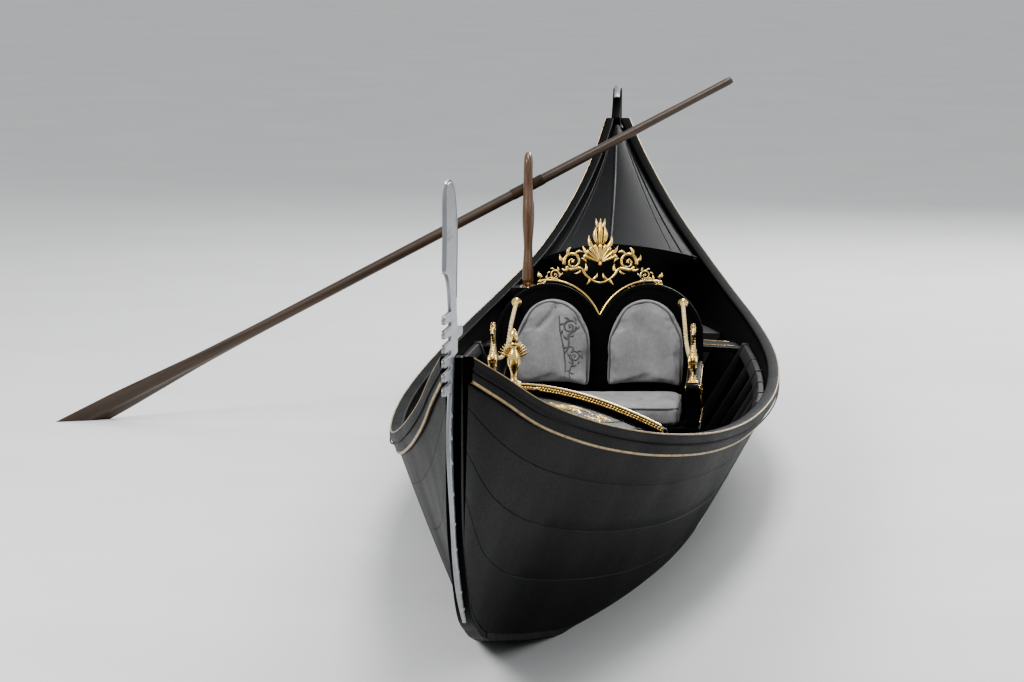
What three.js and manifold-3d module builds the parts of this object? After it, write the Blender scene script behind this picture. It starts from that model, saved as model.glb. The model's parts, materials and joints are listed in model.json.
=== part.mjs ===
// A Venetian rowing gondola, in millimetres.
// +X points to the bow, +Y to port, +Z up. The origin is at the waterline, at half length.
import * as THREE from "three";
import { mergeVertices } from "three/addons/utils/BufferGeometryUtils.js";
import Module from "manifold-3d";

const wasm = await Module();
wasm.setup();

// ---------------------------------------------------------------- sizes
const BOW_X = 5430; // x of the bow; a station s is the distance aft of it, in metres
const SIDE_T = 16; // side planking
const BOTTOM_T = 22; // bottom planking
const GAP = 0.6; // between pieces that touch
const STRAKE_H = 55; // the outer strake under the gunwale cap
const STRAKE_T = 12;
const CAP_IN = 34; // how far the gunwale cap reaches inboard of the side's outer edge
const CAP_T = 22;
const DECK_T = 16;
const POST_HALF = 22; // half width of stem and stern posts
const SHELL_FRONT = 0.1; // stations where the planking ends on the posts
const SHELL_BACK = 10.6;
const FOREDECK_FROM = 0.3, FOREDECK_TO = 2.3;
const AFTDECK_FROM = 8.75, AFTDECK_TO = 10.54;
const PLATFORM_FROM = 7.75, PLATFORM_Z = 400;
const FLOOR_EDGE = 70; // floorboards stop this far inside the planking
const FLOOR_FROM = 3.2, FLOOR_TO = 7.1, FLOOR_Z = -40;
const SOFA_Y = 108; // the sofa's middle, a little to port as the hull is
const FORCOLA_S = 8.1; // the rowlock's station
const IRON_TURN = Math.tan(THREE.MathUtils.degToRad(3)); // the iron's head follows the hull's bent centreline to starboard
const DOOR_T = 14;

// The hull's stations: distance aft of the bow, then heights of the gunwale and the bottom above the
// waterline, half-breadths at the gunwale (starboard, port) and at the chine (starboard, port), in metres.
const HULL = {
  s: [0.1, 0.35, 0.7, 1.2, 1.8, 2.5, 3.4, 4.4, 5.4, 6.4, 7.3, 8.1, 8.8, 9.4, 9.9, 10.3, 10.6],
  sheer: [1.1, 1.02, 0.91, 0.79, 0.68, 0.585, 0.5, 0.45, 0.43, 0.44, 0.48, 0.55, 0.65, 0.78, 0.92, 1.06, 1.175],
  keel: [0.56, 0.36, 0.235, 0.125, 0.03, -0.05, -0.115, -0.158, -0.172, -0.155, -0.105, -0.025, 0.1, 0.27, 0.465, 0.665, 0.865],
  stbd: [0.031, 0.08, 0.14, 0.22, 0.305, 0.39, 0.475, 0.54, 0.565, 0.545, 0.485, 0.39, 0.28, 0.19, 0.12, 0.07, 0.04],
  port: [0.036, 0.105, 0.19, 0.315, 0.455, 0.6, 0.725, 0.815, 0.855, 0.835, 0.75, 0.625, 0.49, 0.35, 0.23, 0.13, 0.06],
  chineS: [0.022, 0.022, 0.022, 0.03, 0.08, 0.15, 0.235, 0.305, 0.335, 0.32, 0.26, 0.17, 0.08, 0.032, 0.022, 0.022, 0.022],
  chineP: [0.022, 0.022, 0.022, 0.035, 0.14, 0.275, 0.4, 0.48, 0.515, 0.505, 0.43, 0.305, 0.175, 0.075, 0.026, 0.022, 0.022],
};
// The stations at which every long piece is faceted, so that neighbours share their facets.
const STATIONS = [
  0.1, 0.2, 0.3, 0.45, 0.6, 0.8, 1.0, 1.25, 1.5, 1.75, 2.0, 2.3, 2.6, 2.9, 3.2, 3.55, 3.9, 4.25, 4.6, 4.95, 5.3,
  5.65, 6.0, 6.35, 6.7, 7.1, 7.45, 7.75, 8.05, 8.4, 8.75, 9.05, 9.35, 9.6, 9.85, 10.1, 10.35, 10.6,
];
// Where the planking's lengths are scarfed end to end, and their names.
const SIDE_LENGTHS = [["bow", 0.1, 2.3], ["forward", 2.3, 4.95], ["aft", 4.95, 7.75], ["stern", 7.75, 10.6]];
const BOTTOM_LENGTHS = [["bow", 1.0, 3.2], ["middle", 3.2, 7.1], ["aft", 7.1, 7.75], ["stern", 7.75, 9.85]];
const SCARF = 0.0003; // each length stops this far short of the scarf, in metres
const RIBS = [2.6, 2.9, 3.2, 3.55, 3.9, 4.25, 4.6, 4.95, 5.3, 5.65, 6.0, 6.35, 6.7, 7.1];

// ---------------------------------------------------------------- hull form
function slopes(x, y) {
  const d = x.slice(1).map((v, i) => (y[i + 1] - y[i]) / (v - x[i]));
  return x.map((_, i) => {
    if (i === 0) return d[0];
    if (i === x.length - 1) return d[i - 1];
    const a = x[i] - x[i - 1], b = x[i + 1] - x[i];
    return (b * d[i - 1] + a * d[i]) / (a + b);
  });
}
const M = Object.fromEntries(Object.keys(HULL).map((k) => [k, slopes(HULL.s, HULL[k])]));
function curve(key, s) {
  const x = HULL.s, y = HULL[key], m = M[key];
  let i = 0;
  while (i < x.length - 2 && s > x[i + 1]) i++;
  const h = x[i + 1] - x[i], t = (s - x[i]) / h;
  const t2 = t * t, t3 = t2 * t;
  return (2 * t3 - 3 * t2 + 1) * y[i] + (t3 - 2 * t2 + t) * h * m[i] + (3 * t2 - 2 * t3) * y[i + 1] + (t3 - t2) * h * m[i + 1];
}
const X = (s) => BOW_X - s * 1000;
// The form at one station, in mm. side is -1 for starboard and +1 for port.
function form(s) {
  return {
    zs: curve("sheer", s) * 1000,
    zk: curve("keel", s) * 1000,
    b: { "-1": curve("stbd", s) * 1000, 1: curve("port", s) * 1000 },
    c: { "-1": curve("chineS", s) * 1000, 1: curve("chineP", s) * 1000 },
  };
}
// Half-breadth of the side's outer face at a height, for one side.
function breadth(s, z, side) {
  const f = form(s), z0 = f.zk + BOTTOM_T + GAP;
  const t = THREE.MathUtils.clamp((z - z0) / (f.zs - z0), 0, 1);
  return f.c[side] + (f.b[side] - f.c[side]) * t + bulge(f, side) * Math.sin(Math.PI * t);
}
const bulge = (f, side) => 0.01 * (f.zs - f.zk) * Math.min(1, f.b[side] / 300);
const inside = (s, z, side) => breadth(s, z, side) - SIDE_T;

// ---------------------------------------------------------------- solids
function solid(g) {
  const bare = g.index ? g.toNonIndexed() : g.clone();
  const pos = new THREE.BufferGeometry().setAttribute("position", bare.getAttribute("position"));
  const m = mergeVertices(pos, 1e-3);
  return new wasm.Manifold(
    new wasm.Mesh({ numProp: 3, vertProperties: m.attributes.position.array, triVerts: new Uint32Array(m.index.array) }),
  );
}
function geometry(s) {
  const m = s.getMesh();
  const v = new Float32Array(m.numVert * 3);
  for (let i = 0; i < m.numVert; i++) for (let k = 0; k < 3; k++) v[3 * i + k] = m.vertProperties[i * m.numProp + k];
  return new THREE.BufferGeometry()
    .setAttribute("position", new THREE.BufferAttribute(v, 3))
    .setIndex(new THREE.BufferAttribute(new Uint32Array(m.triVerts), 1));
}
const union = (list) => geometry(list.map((g) => (g.isBufferGeometry ? solid(g) : g)).reduce((a, b) => a.add(b)));
const cut = (a, ...tools) => geometry(tools.reduce((s, t) => s.subtract(solid(t)), solid(a)));

// A closed solid through polygons with the same number of points, one at each place.
// Each section is a list of [a, b]; place(section index, point) gives its point in space.
function skin(sections, place) {
  const n = sections[0].length, v = [], f = [];
  sections.forEach((sec, i) => sec.forEach((p) => v.push(place(i, p))));
  for (let i = 0; i + 1 < sections.length; i++)
    for (let j = 0; j < n; j++) {
      const a = i * n + j, b = i * n + ((j + 1) % n), c = a + n, d = b + n;
      // the diagonal runs the same way up on every piece, so that neighbouring facets stay parallel
      if (v[a].z + 0.01 * Math.abs(v[a].y) < v[b].z + 0.01 * Math.abs(v[b].y)) f.push(a, b, c, b, d, c);
      else f.push(a, b, d, a, d, c);
    }
  const cap = (i, flip) => {
    for (const t of THREE.ShapeUtils.triangulateShape(sections[i].map((p) => new THREE.Vector2(p[0], p[1])), [])) {
      const q = t.map((k) => i * n + k);
      f.push(...(flip ? [q[0], q[2], q[1]] : q));
    }
  };
  const area = sections[0].reduce((s, p, k) => { const q = sections[0][(k + 1) % n]; return s + p[0] * q[1] - q[0] * p[1]; }, 0);
  cap(0, area > 0); cap(sections.length - 1, area < 0);
  const g = new THREE.BufferGeometry()
    .setAttribute("position", new THREE.Float32BufferAttribute(v.flatMap((p) => [p.x, p.y, p.z]), 3))
    .setIndex(f);
  let vol = 0;
  for (let k = 0; k < f.length; k += 3) vol += v[f[k]].dot(new THREE.Vector3().crossVectors(v[f[k + 1]], v[f[k + 2]]));
  if (vol < 0) { const idx = g.index.array; for (let k = 0; k < idx.length; k += 3) [idx[k + 1], idx[k + 2]] = [idx[k + 2], idx[k + 1]]; }
  return g;
}
// A loft along the boat: polygon(s) gives [y, z] points at station s.
const loft = (stations, polygon) => skin(stations.map((s) => polygon(s)), (i, p) => new THREE.Vector3(X(stations[i]), p[0], p[1]));
const between = (from, to) => [from, ...STATIONS.filter((s) => s > from + 0.01 && s < to - 0.01), to];
const box = (x0, x1, y0, y1, z0, z1) => new THREE.BoxGeometry(x1 - x0, y1 - y0, z1 - z0).translate((x0 + x1) / 2, (y0 + y1) / 2, (z0 + z1) / 2);
// A plate in the boat's fore-and-aft plane: outline in [s (m), z (mm)], thickness across the boat.
function plate(outline, thickness, y = 0, bevel = 0) {
  const shape = new THREE.Shape(outline.map(([s, z]) => new THREE.Vector2(X(s), z)));
  const g = new THREE.ExtrudeGeometry(shape, { depth: thickness - 2 * bevel, bevelEnabled: bevel > 0, bevelThickness: bevel, bevelSize: bevel, bevelOffset: -bevel, bevelSegments: 1 });
  return g.rotateX(Math.PI / 2).translate(0, y + thickness / 2 - bevel, 0);
}
// A plate across the boat: outline in [y, z], from x0 to x1.
function board(outline, x0, x1) {
  return skin([outline, outline], (i, p) => new THREE.Vector3(i ? x1 : x0, p[0], p[1]));
}
const smooth = (points, n) => new THREE.SplineCurve(points.map((p) => new THREE.Vector2(p[0], p[1]))).getPoints(n).map((p) => [p.x, p.y]);

// ---------------------------------------------------------------- the group
const boat = new THREE.Group();
const LOOKS = {
  hull_black: [0x0b0b0d, 0.18, 0.0], deck_black: [0x0d0d10, 0.22, 0.0], inner_black: [0x17161a, 0.5, 0.0],
  floor_wood: [0x3a2a1c, 0.6, 0.0], carpet: [0x2b2a2c, 0.95, 0.0], velvet: [0x77757a, 0.85, 0.0],
  gilt: [0xb08a3c, 0.3, 1.0], brass: [0xb08a3c, 0.25, 1.0], steel: [0xc4c6c8, 0.22, 1.0],
  walnut: [0x5d3f26, 0.45, 0.0], oar_wood: [0x8a6a45, 0.5, 0.0], cord_silk: [0xb39a62, 0.6, 0.0],
};
function add(name, geom, look, parent = boat) {
  const [color, roughness, metalness] = LOOKS[look];
  const mesh = new THREE.Mesh(geom, new THREE.MeshStandardMaterial({ color, roughness, metalness }));
  mesh.name = name;
  parent.add(mesh);
  return mesh;
}

// ---------------------------------------------------------------- planking
// Girth points of the side's outer face, chine to gunwale.
function girth(s, side) {
  const f = form(s), z0 = f.zk + BOTTOM_T + GAP;
  const heights = [0, 0.33, 0.66].map((t) => z0 + (f.zs - STRAKE_H - z0) * t).concat([f.zs - STRAKE_H, f.zs]);
  return heights.map((z) => [breadth(s, z, side), z]);
}
for (const [side, name] of [[-1, "starboard"], [1, "port"]]) {
  for (const [place, from, to] of SIDE_LENGTHS)
    add(`side_${name}_${place}`, loft(between(from + SCARF, to - SCARF), (s) => {
      const g = girth(s, side);
      return [...g, ...g.slice().reverse().map(([y, z]) => [y - SIDE_T, z])].map(([y, z]) => [side * y, z]);
    }), "hull_black");
  // gunwale: a cap over the planking's top edge and a strake outside it, in one moulding
  add("gunwale_" + name, loft(between(SHELL_FRONT + 0.005, SHELL_BACK), (s) => {
    const f = form(s), g = girth(s, side), lo = g[3], hi = g[4];
    const inner = hi[0] - Math.min(CAP_IN, hi[0] - 9);
    return [
      [lo[0] + GAP, lo[1]], [lo[0] + STRAKE_T, lo[1]], [hi[0] + STRAKE_T + 2, hi[1]], [hi[0] + STRAKE_T + 2, f.zs + CAP_T - 4],
      [hi[0] + STRAKE_T - 3, f.zs + CAP_T], [inner, f.zs + CAP_T], [inner, f.zs + GAP], [hi[0] + GAP, f.zs + GAP],
    ].map(([y, z]) => [side * y, z]);
  }), "hull_black");
}
for (const [place, from, to] of BOTTOM_LENGTHS)
  add("bottom_" + place, loft(between(from + SCARF, to - SCARF), (s) => {
    const f = form(s);
    return [[-f.c[-1], f.zk], [f.c[1], f.zk], [f.c[1], f.zk + BOTTOM_T], [-f.c[-1], f.zk + BOTTOM_T]];
  }), "hull_black");

// posts: the stem's front curve above the planking, then the run along the bottom
const STEM = [[0.1, 560], [0.055, 612], [0.02, 685], [0.002, 765], [0.0, 850], [0.006, 950], [0.02, 1040], [0.042, 1125]];
const stemRun = STATIONS.filter((s) => s >= 0.1 && s < 0.99).concat([0.998]);
add("stem_post", plate([
  ...stemRun.slice().reverse().map((s) => [s, form(s).zk]),
  ...STEM.slice(1), [0.0975, 1125],
  ...[[0.0975, form(0.1).zk + BOTTOM_T], ...stemRun.slice(1).map((s) => [s, form(s).zk + BOTTOM_T])],
], 2 * POST_HALF), "hull_black");
const TAIL_UNDER = [[10.6, 865], [10.69, 950], [10.765, 1045], [10.82, 1150], [10.85, 1250], [10.86, 1330]];
const sternRun = [9.852, 10.1, 10.35, 10.6];
add("stern_post", plate([
  ...sternRun.map((s) => [s, form(s).zk]), ...TAIL_UNDER.slice(1),
  [10.83, 1333], [10.76, 1280], [10.68, 1232], [10.6025, 1197],
  [10.6025, form(10.6).zk + BOTTOM_T], ...sternRun.slice(0, 3).reverse().map((s) => [s, form(s).zk + BOTTOM_T]),
], 2 * POST_HALF), "hull_black");

// ---------------------------------------------------------------- decks
// A deck's top across the boat at a station: flat under the caps, crowned between them.
function deckTop(s, crown) {
  const f = form(s), ridge = (f.b[1] - f.b[-1]) / 4;
  const a = -(f.b[-1] - CAP_IN - 2), b = f.b[1] - CAP_IN - 2;
  const arch = [0.25, 0.5, 0.75].map((t) => [a + (ridge - a) * t, crown * (1 - (1 - t) ** 1.7)]);
  const arch2 = [0.25, 0.5, 0.75].map((t) => [b + (ridge - b) * t, crown * (1 - (1 - t) ** 1.7)]);
  const edge = (side) => inside(s, f.zs - GAP - DECK_T, side) - 4;
  return [[-edge(-1), 0], [Math.max(a, -edge(-1) + 3), 0], ...arch, [ridge, crown], ...arch2.reverse(), [Math.min(b, edge(1) - 3), 0], [edge(1), 0]]
    .map(([y, z]) => [y, f.zs - GAP + z]);
}
const deckPolygon = (s, crown) => { const t = deckTop(s, crown); return [...t, ...t.slice().reverse().map(([y, z]) => [y, z - DECK_T])]; };
const foreCrown = (s) => 20 + 125 * ((s - FOREDECK_FROM) / (FOREDECK_TO - FOREDECK_FROM)) ** 0.9;
const aftCrown = (s) => 60 - 45 * ((s - AFTDECK_FROM) / (AFTDECK_TO - AFTDECK_FROM));
add("foredeck", loft(between(FOREDECK_FROM, FOREDECK_TO), (s) => deckPolygon(s, foreCrown(s))), "deck_black");
add("aft_deck", loft(between(AFTDECK_FROM, AFTDECK_TO), (s) => deckPolygon(s, aftCrown(s))), "deck_black");
add("breasthook", loft([0.106, 0.2, 0.298], (s) => {
  const f = form(s), y = (side) => f.b[side] - Math.min(CAP_IN, f.b[side] - 9) - 1;
  return [[-y(-1), f.zs - 12], [y(1), f.zs - 12], [y(1), f.zs + CAP_T], [0, f.zs + CAP_T + 6], [-y(-1), f.zs + CAP_T]];
}), "deck_black");

// An outline that fits inside the hull between two heights at station s, with a clearance.
function between_sides(s, zLow, zHigh, gap = 9) {
  const n = 4, zs = Array.from({ length: n + 1 }, (_, i) => zLow + ((zHigh - zLow) * i) / n);
  return [...zs.map((z) => [inside(s, z, 1) - gap, z]), ...zs.slice().reverse().map((z) => [-(inside(s, z, -1) - gap), z])];
}
// the carved board that closes the foredeck's after edge
{
  const s = FOREDECK_TO, top = deckTop(s, foreCrown(s)).slice(1, -1);
  add("foredeck_coaming", board([...top.map(([y, z]) => [y, z + 34]), ...top.slice().reverse().map(([y, z]) => [THREE.MathUtils.clamp(y, 14 - inside(s + 0.032, z - 46, -1), inside(s + 0.032, z - 46, 1) - 14), z - 46])], X(s + 0.032), X(s + 0.001)), "deck_black");
}
// bulkhead under it, with the locker's doorway
const BOW_DOOR = { s: 2.262, y0: -150, y1: 190, z0: 150, z1: 480 };
{
  const outline = between_sides(2.285, form(2.285).zk + BOTTOM_T + 5, form(2.285).zs - DECK_T - 4);
  const doorway = box(X(2.4), X(2.1), BOW_DOOR.y0 - 4, BOW_DOOR.y1 + 4, BOW_DOOR.z0 - 4, BOW_DOOR.z1 + 4);
  add("bow_bulkhead", cut(board(outline, X(2.285), X(2.265)), doorway), "inner_black");
}
add("bow_locker_door", union([
  box(X(2.285), X(2.285) + DOOR_T, BOW_DOOR.y0, BOW_DOOR.y1, BOW_DOOR.z0, BOW_DOOR.z1),
  new THREE.CylinderGeometry(11, 11, 16, 12).rotateZ(Math.PI / 2).translate(X(2.285) - 7, BOW_DOOR.y1 - 40, 315),
]), "inner_black");

// the rowing platform, its forward bulkhead with a doorway, and the riser up to the after deck
{
  add("rowing_platform", loft(between(PLATFORM_FROM, AFTDECK_FROM - 0.003), (s) => between_sides(s, PLATFORM_Z - 24, PLATFORM_Z, 5)), "inner_black");
}
const STERN_DOOR = { y0: -110, y1: 210, z0: 50, z1: 330 };
{
  const s = 7.745, outline = between_sides(s, form(s).zk + BOTTOM_T + 6, PLATFORM_Z - 26);
  const doorway = box(X(7.9), X(7.6), STERN_DOOR.y0 - 4, STERN_DOOR.y1 + 4, STERN_DOOR.z0 - 4, STERN_DOOR.z1 + 4);
  // its top edge meets the platform's underside at the same station
  add("stern_bulkhead", cut(board(outline, X(7.748) - 20 - 2, X(7.748)), doorway), "inner_black");
}
add("stern_locker_door", union([
  box(X(7.748) - DOOR_T, X(7.748), STERN_DOOR.y0, STERN_DOOR.y1, STERN_DOOR.z0, STERN_DOOR.z1),
  new THREE.CylinderGeometry(11, 11, 16, 12).rotateZ(Math.PI / 2).translate(X(7.748) + 7, STERN_DOOR.y1 - 40, 190),
]), "inner_black");
{
  const s = AFTDECK_FROM, top = deckTop(s, aftCrown(s)).slice(1, -1);
  const w = (side) => inside(s, PLATFORM_Z + 4, side) - 6;
  add("aft_deck_riser", board([
    ...top.map(([y, z]) => [y, z + 14]),
    [w(1), form(s).zs - 30], [w(1) , PLATFORM_Z + 3], [-w(-1), PLATFORM_Z + 3], [-w(-1), form(s).zs - 30],
  ], X(s - 0.001), X(s - 0.019)), "deck_black");
}
add("foot_wedge", board([[0, 0], [120, 0], [120, 20], [0, 70]], 0, 240)
  .applyMatrix4(new THREE.Matrix4().set(0, -1, 0, 0, 1, 0, 0, 0, 0, 0, 1, 0, 0, 0, 0, 1))
  .translate(X(8.46), -10, PLATFORM_Z + 0.6), "inner_black");

// ---------------------------------------------------------------- frames, floor and thwart
for (const [side, name] of [[-1, "starboard"], [1, "port"]])
  for (const [place, from, to] of [["forward", 2.55, 5.12], ["aft", 5.13, 7.15]]) {
    const pieces = RIBS.filter((s) => s > from && s < to).map((s) => loft([s - 0.012, s + 0.012], (t) => {
      const f = form(t), z0 = f.zk + BOTTOM_T + 4, z1 = f.zs - 46;
      const zs = [0, 0.33, 0.66, 1].map((k) => z0 + (z1 - z0) * k);
      const out = zs.map((z) => [inside(t, z, side) - 3, z]);
      // a straight inner edge, deeper at the foot
      const foot = out[0][0] - 48, head = out[3][0] - 30;
      return [...out, ...out.slice().reverse().map(([, z], i) => [head + ((foot - head) * i) / 3, z])].map(([y, z]) => [side * y, z]);
    }));
    pieces.push(loft(between(from, to), (s) => {
      const f = form(s), z = f.zs - 72;
      const y0 = inside(s, z + 22, side) - 6, y1 = inside(s, z - 22, side) - 6;
      return [[y1, z - 22], [y0, z + 22], [y0 - 22, z + 22], [y1 - 22, z - 22]].map(([y, zz]) => [side * y, zz]);
    }));
    add(`frames_${name}_${place}`, union(pieces), "inner_black");
  }
{
  const beams = RIBS.filter((s) => s >= 3.2 && s <= 7.1).map((s) => {
    const f = form(s), z0 = f.zk + BOTTOM_T + 2;
    const y = (side) => inside(s, z0 + 8, side) - 75;
    return box(X(s + (s < 4 ? 0.012 : 0)) - 12, X(s + (s < 4 ? 0.012 : 0)) + 12, -y(-1), y(1), z0 + 2, FLOOR_Z - 18 - 1);
  });
  const keelson = loft(between(3.21, 7.1), (s) => { const z = form(s).zk + BOTTOM_T + 2; return [[20, z], [100, z], [100, z + 12], [20, z + 12]]; });
  add("floor_timbers", union([...beams, keelson]), "inner_black");
}
add("floorboards", loft(between(FLOOR_FROM + 0.002, FLOOR_TO), (s) => {
  const y = (side) => inside(s, FLOOR_Z - 18, side) - FLOOR_EDGE;
  return [[-y(-1), FLOOR_Z - 18], [y(1), FLOOR_Z - 18], [y(1), FLOOR_Z], [-y(-1), FLOOR_Z]];
}), "floor_wood");
add("fore_step", loft([2.36, 2.6, 2.9, 3.19], (s) => {
  const y = (side) => inside(s, 62, side) - 62;
  return [[-y(-1), 62], [y(1), 62], [y(1), 80], [-y(-1), 80]];
}), "floor_wood");
add("floor_carpet", box(X(5.8), X(3.6), -165, 350, FLOOR_Z + 0.5, FLOOR_Z + 8), "carpet");
{
  // a thwart across the hull ahead of the rowing platform, arched on top
  const s0 = 7.16, s1 = 7.4, z = 405;
  add("aft_thwart", loft([s0, s1], (s) => {
    const y = (side) => inside(s, z - 30, side) - 5;
    return [[-y(-1), z - 30], [y(1), z - 30], [y(1) , z - 4], [y(1) * 0.5, z + 8], [0, z + 12], [-y(-1) * 0.5, z + 8], [-y(-1), z - 4]];
  }), "deck_black");
}

// ---------------------------------------------------------------- the sofa
const SOFA = { y0: SOFA_Y - 440, y1: SOFA_Y + 440, front: 5.9, back: 6.46, seat: 205 };
add("sofa_base", union([
  box(X(SOFA.back), X(SOFA.front), SOFA.y0, SOFA.y1, 60, SOFA.seat),
  ...[[SOFA.front + 0.03, SOFA.y0 + 115], [SOFA.front + 0.03, SOFA.y1 - 115], [SOFA.back - 0.03, SOFA.y0 + 115], [SOFA.back - 0.03, SOFA.y1 - 115]]
    .map(([s, y]) => box(X(s) - 22, X(s) + 22, y - 22, y + 22, FLOOR_Z + 0.6, 61)),
]), "deck_black");
// cushions: plain rounded blocks
function pad(x0, x1, y0, y1, z0, z1, r = 22) {
  const w = y1 - y0 - 2 * r, d = x1 - x0 - 2 * r;
  const sh = new THREE.Shape();
  sh.moveTo(-d / 2 - r, -w / 2); sh.absarc(-d / 2, -w / 2, r, Math.PI, 1.5 * Math.PI); sh.absarc(d / 2, -w / 2, r, 1.5 * Math.PI, 2 * Math.PI);
  sh.absarc(d / 2, w / 2, r, 0, 0.5 * Math.PI); sh.absarc(-d / 2, w / 2, r, 0.5 * Math.PI, Math.PI);
  const g = new THREE.ExtrudeGeometry(sh, { depth: z1 - z0 - 24, curveSegments: 3, bevelEnabled: true, bevelThickness: 12, bevelSize: 10, bevelOffset: -10, bevelSegments: 2 });
  return g.translate((x0 + x1) / 2, (y0 + y1) / 2, z0 + 12);
}
add("sofa_seat_cushion", pad(X(SOFA.back) + 4, X(SOFA.front) + 10, SOFA.y0 + 66, SOFA.y1 - 66, SOFA.seat + 0.6, SOFA.seat + 95), "velvet");
// back: a carved board behind two arched cushions, raked aft
function arch(yc, half, z0, zShoulder, zTop, n = 8) {
  const pts = [[yc - half, z0], [yc + half, z0]];
  for (let i = 0; i <= n; i++) { const a = (Math.PI * i) / n; pts.push([yc + half * Math.cos(a), zShoulder + (zTop - zShoulder) * Math.sin(a)]); }
  return pts;
}
const RAKE = Math.tan(THREE.MathUtils.degToRad(9));
const raked = (g, z0) => { // leans a piece aft, about the height z0
  const p = g.attributes.position;
  for (let i = 0; i < p.count; i++) p.setX(i, p.getX(i) - (p.getZ(i) - z0) * RAKE);
  return g;
};
const BACK_X = X(SOFA.back);
const backOutline = (() => {
  const half = 228, out = [[SOFA.y0 + 4, SOFA.seat + 2]];
  out.push([SOFA.y1 - 4, SOFA.seat + 2]);
  for (const yc of [SOFA_Y + 212, SOFA_Y - 212])
    for (let i = 0; i <= 8; i++) {
      const a = (Math.PI * i) / 8, y = yc + half * Math.cos(a);
      if ((yc > SOFA_Y) === (y > SOFA_Y + 1)) out.push([THREE.MathUtils.clamp(y, SOFA.y0 + 4, SOFA.y1 - 4), 490 + 240 * Math.sin(a)]);
    }
  return out;
})();
add("sofa_backrest", raked(board(backOutline, BACK_X - 34, BACK_X - 2), SOFA.seat), "deck_black");
for (const [side, name] of [[-1, "starboard"], [1, "port"]])
  add("sofa_back_cushion_" + name, raked(board(arch(SOFA_Y + side * 195, 180, SOFA.seat + 97, 470, 690), BACK_X - 0.5, BACK_X + 82), SOFA.seat), "velvet");
for (const [side, name] of [[-1, "starboard"], [1, "port"]]) {
  const y = SOFA_Y + side * 408;
  const profile = [[5.9, 207], [6.44, 207], [6.44, 420], [6.3, 412], [6.15, 394], [6.03, 384], [5.88, 384], [5.87, 372], [5.88, 350], [5.905, 335]];
  add("sofa_arm_" + name, plate(profile, 56, y, 6), "deck_black");
}
{
  // the carved crest in the middle of the back's top
  const rise = [[0, 1020], [35, 985], [60, 935], [95, 905], [120, 850], [165, 830], [200, 790], [250, 775], [270, 742]];
  const zTop = (y) => 490 + 240 * Math.sqrt(1 - ((Math.abs(y) - 212) / 228) ** 2);
  const outline = [...rise.slice(1).reverse().map(([y, z]) => [SOFA_Y + y, z]), ...rise.map(([y, z]) => [SOFA_Y - y, z])];
  const under = [-262, -212, -165, -130, -95, -60, -30, 0, 30, 60, 95, 130, 165, 212, 262].map((y) => [SOFA_Y + y, zTop(y) + 4]);
  add("sofa_crest", raked(board([...outline, ...under], BACK_X - 32, BACK_X - 6), SOFA.seat), "gilt");
}

// ---------------------------------------------------------------- two small chairs
for (const [side, name, y] of [[-1, "starboard", -84], [1, "port", 278]]) {
  const s = 4.35, x = X(s), w = 165, d = 180, z0 = FLOOR_Z + 8.6;
  const legs = [[1, 1], [1, -1], [-1, 1], [-1, -1]].map(([a, b]) => box(x + a * (d - 18) - 16, x + a * (d - 18) + 16, y + b * (w - 18) - 16, y + b * (w - 18) + 16, z0, 141));
  const seat = box(x - d, x + d, y - w, y + w, 140, 175);
  // the back stands on the chair's forward edge, so the sitter faces the sofa
  const back = board([[y - w, 174], [y + w, 174], ...Array.from({ length: 9 }, (_, i) => { const a = (Math.PI * i) / 8; return [y + w * Math.cos(a), 330 + 120 * Math.sin(a)]; })], x + d - 26, x + d);
  add("chair_" + name, union([...legs, seat, back]), "deck_black");
  add(`chair_${name}_cushion`, pad(x - d + 6, x + d - 30, y - w + 6, y + w - 6, 175.6, 240), "velvet");
}

// ---------------------------------------------------------------- bow iron: hat, six teeth, one back tooth, and the band down the stem
{
  const teeth = [];
  for (let i = 0; i < 6; i++) {
    const z = 1262 - i * 40; // top of each tooth
    teeth.push([-0.03, z + 1], [-0.165, z - 2], [-0.174, z - 14], [-0.165, z - 25], [-0.03, z - 27]);
  }
  const hatFront = [[-0.138, 1612], [-0.15, 1560], [-0.15, 1470], [-0.157, 1380], [-0.12, 1372], [-0.08, 1348], [-0.052, 1312], [-0.042, 1278]];
  const bandFront = [[-0.045, 1022], [-0.075, 940], [-0.084, 850], [-0.07, 740], [-0.03, 630], [0.04, 530], [0.14, 445], [0.27, 372], [0.4, 312]];
  const bandBack = [0.4, 0.3, 0.2, 0.14].map((s) => [s - 0.004, form(s).zk - 5]).concat([[0.094, 557], [0.0495, 607], [0.0145, 681], [-0.0035, 764], [-0.0055, 850], [0.0005, 952], [0.0145, 1043], [0.037, 1130]]);
  const behind = [[0.1, 1133], [0.102, 1170], [0.2, 1172], [0.212, 1186], [0.2, 1200], [0.098, 1204], [0.08, 1270], [0.095, 1370], [0.105, 1440], [0.1, 1500], [0.075, 1565], [0.03, 1610], [-0.04, 1632], [-0.1, 1632]];
  const g = plate([...hatFront, ...teeth, ...bandFront, ...bandBack, ...behind], 10, 0), p = g.attributes.position;
  for (let i = 0; i < p.count; i++)
    p.setY(i, p.getY(i) + IRON_TURN * (BOW_X - p.getX(i) - 100) * THREE.MathUtils.smoothstep(p.getZ(i), 620, 960));
  add("bow_iron", g, "steel");
}
// stern iron: a strip round the tail's tip
{
  const pts = TAIL_UNDER.slice(1).map(([s, z]) => new THREE.Vector2(X(s), z));
  const off = (d) => pts.map((p, i) => {
    const q = pts[Math.min(i + 1, pts.length - 1)].clone().sub(pts[Math.max(i - 1, 0)]).normalize();
    return [(BOW_X - (p.x - q.y * d)) / 1000, p.y + q.x * d];
  });
  const inner = off(1.2), outer = off(11);
  add("stern_iron", plate([...outer, [10.868, 1346], [10.822, 1348], [10.757, 1298], [10.759, 1290], [10.829, 1335.5], [10.8612, 1332], ...inner.slice(0, -1).reverse()], 30, 0), "steel");
}

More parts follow.
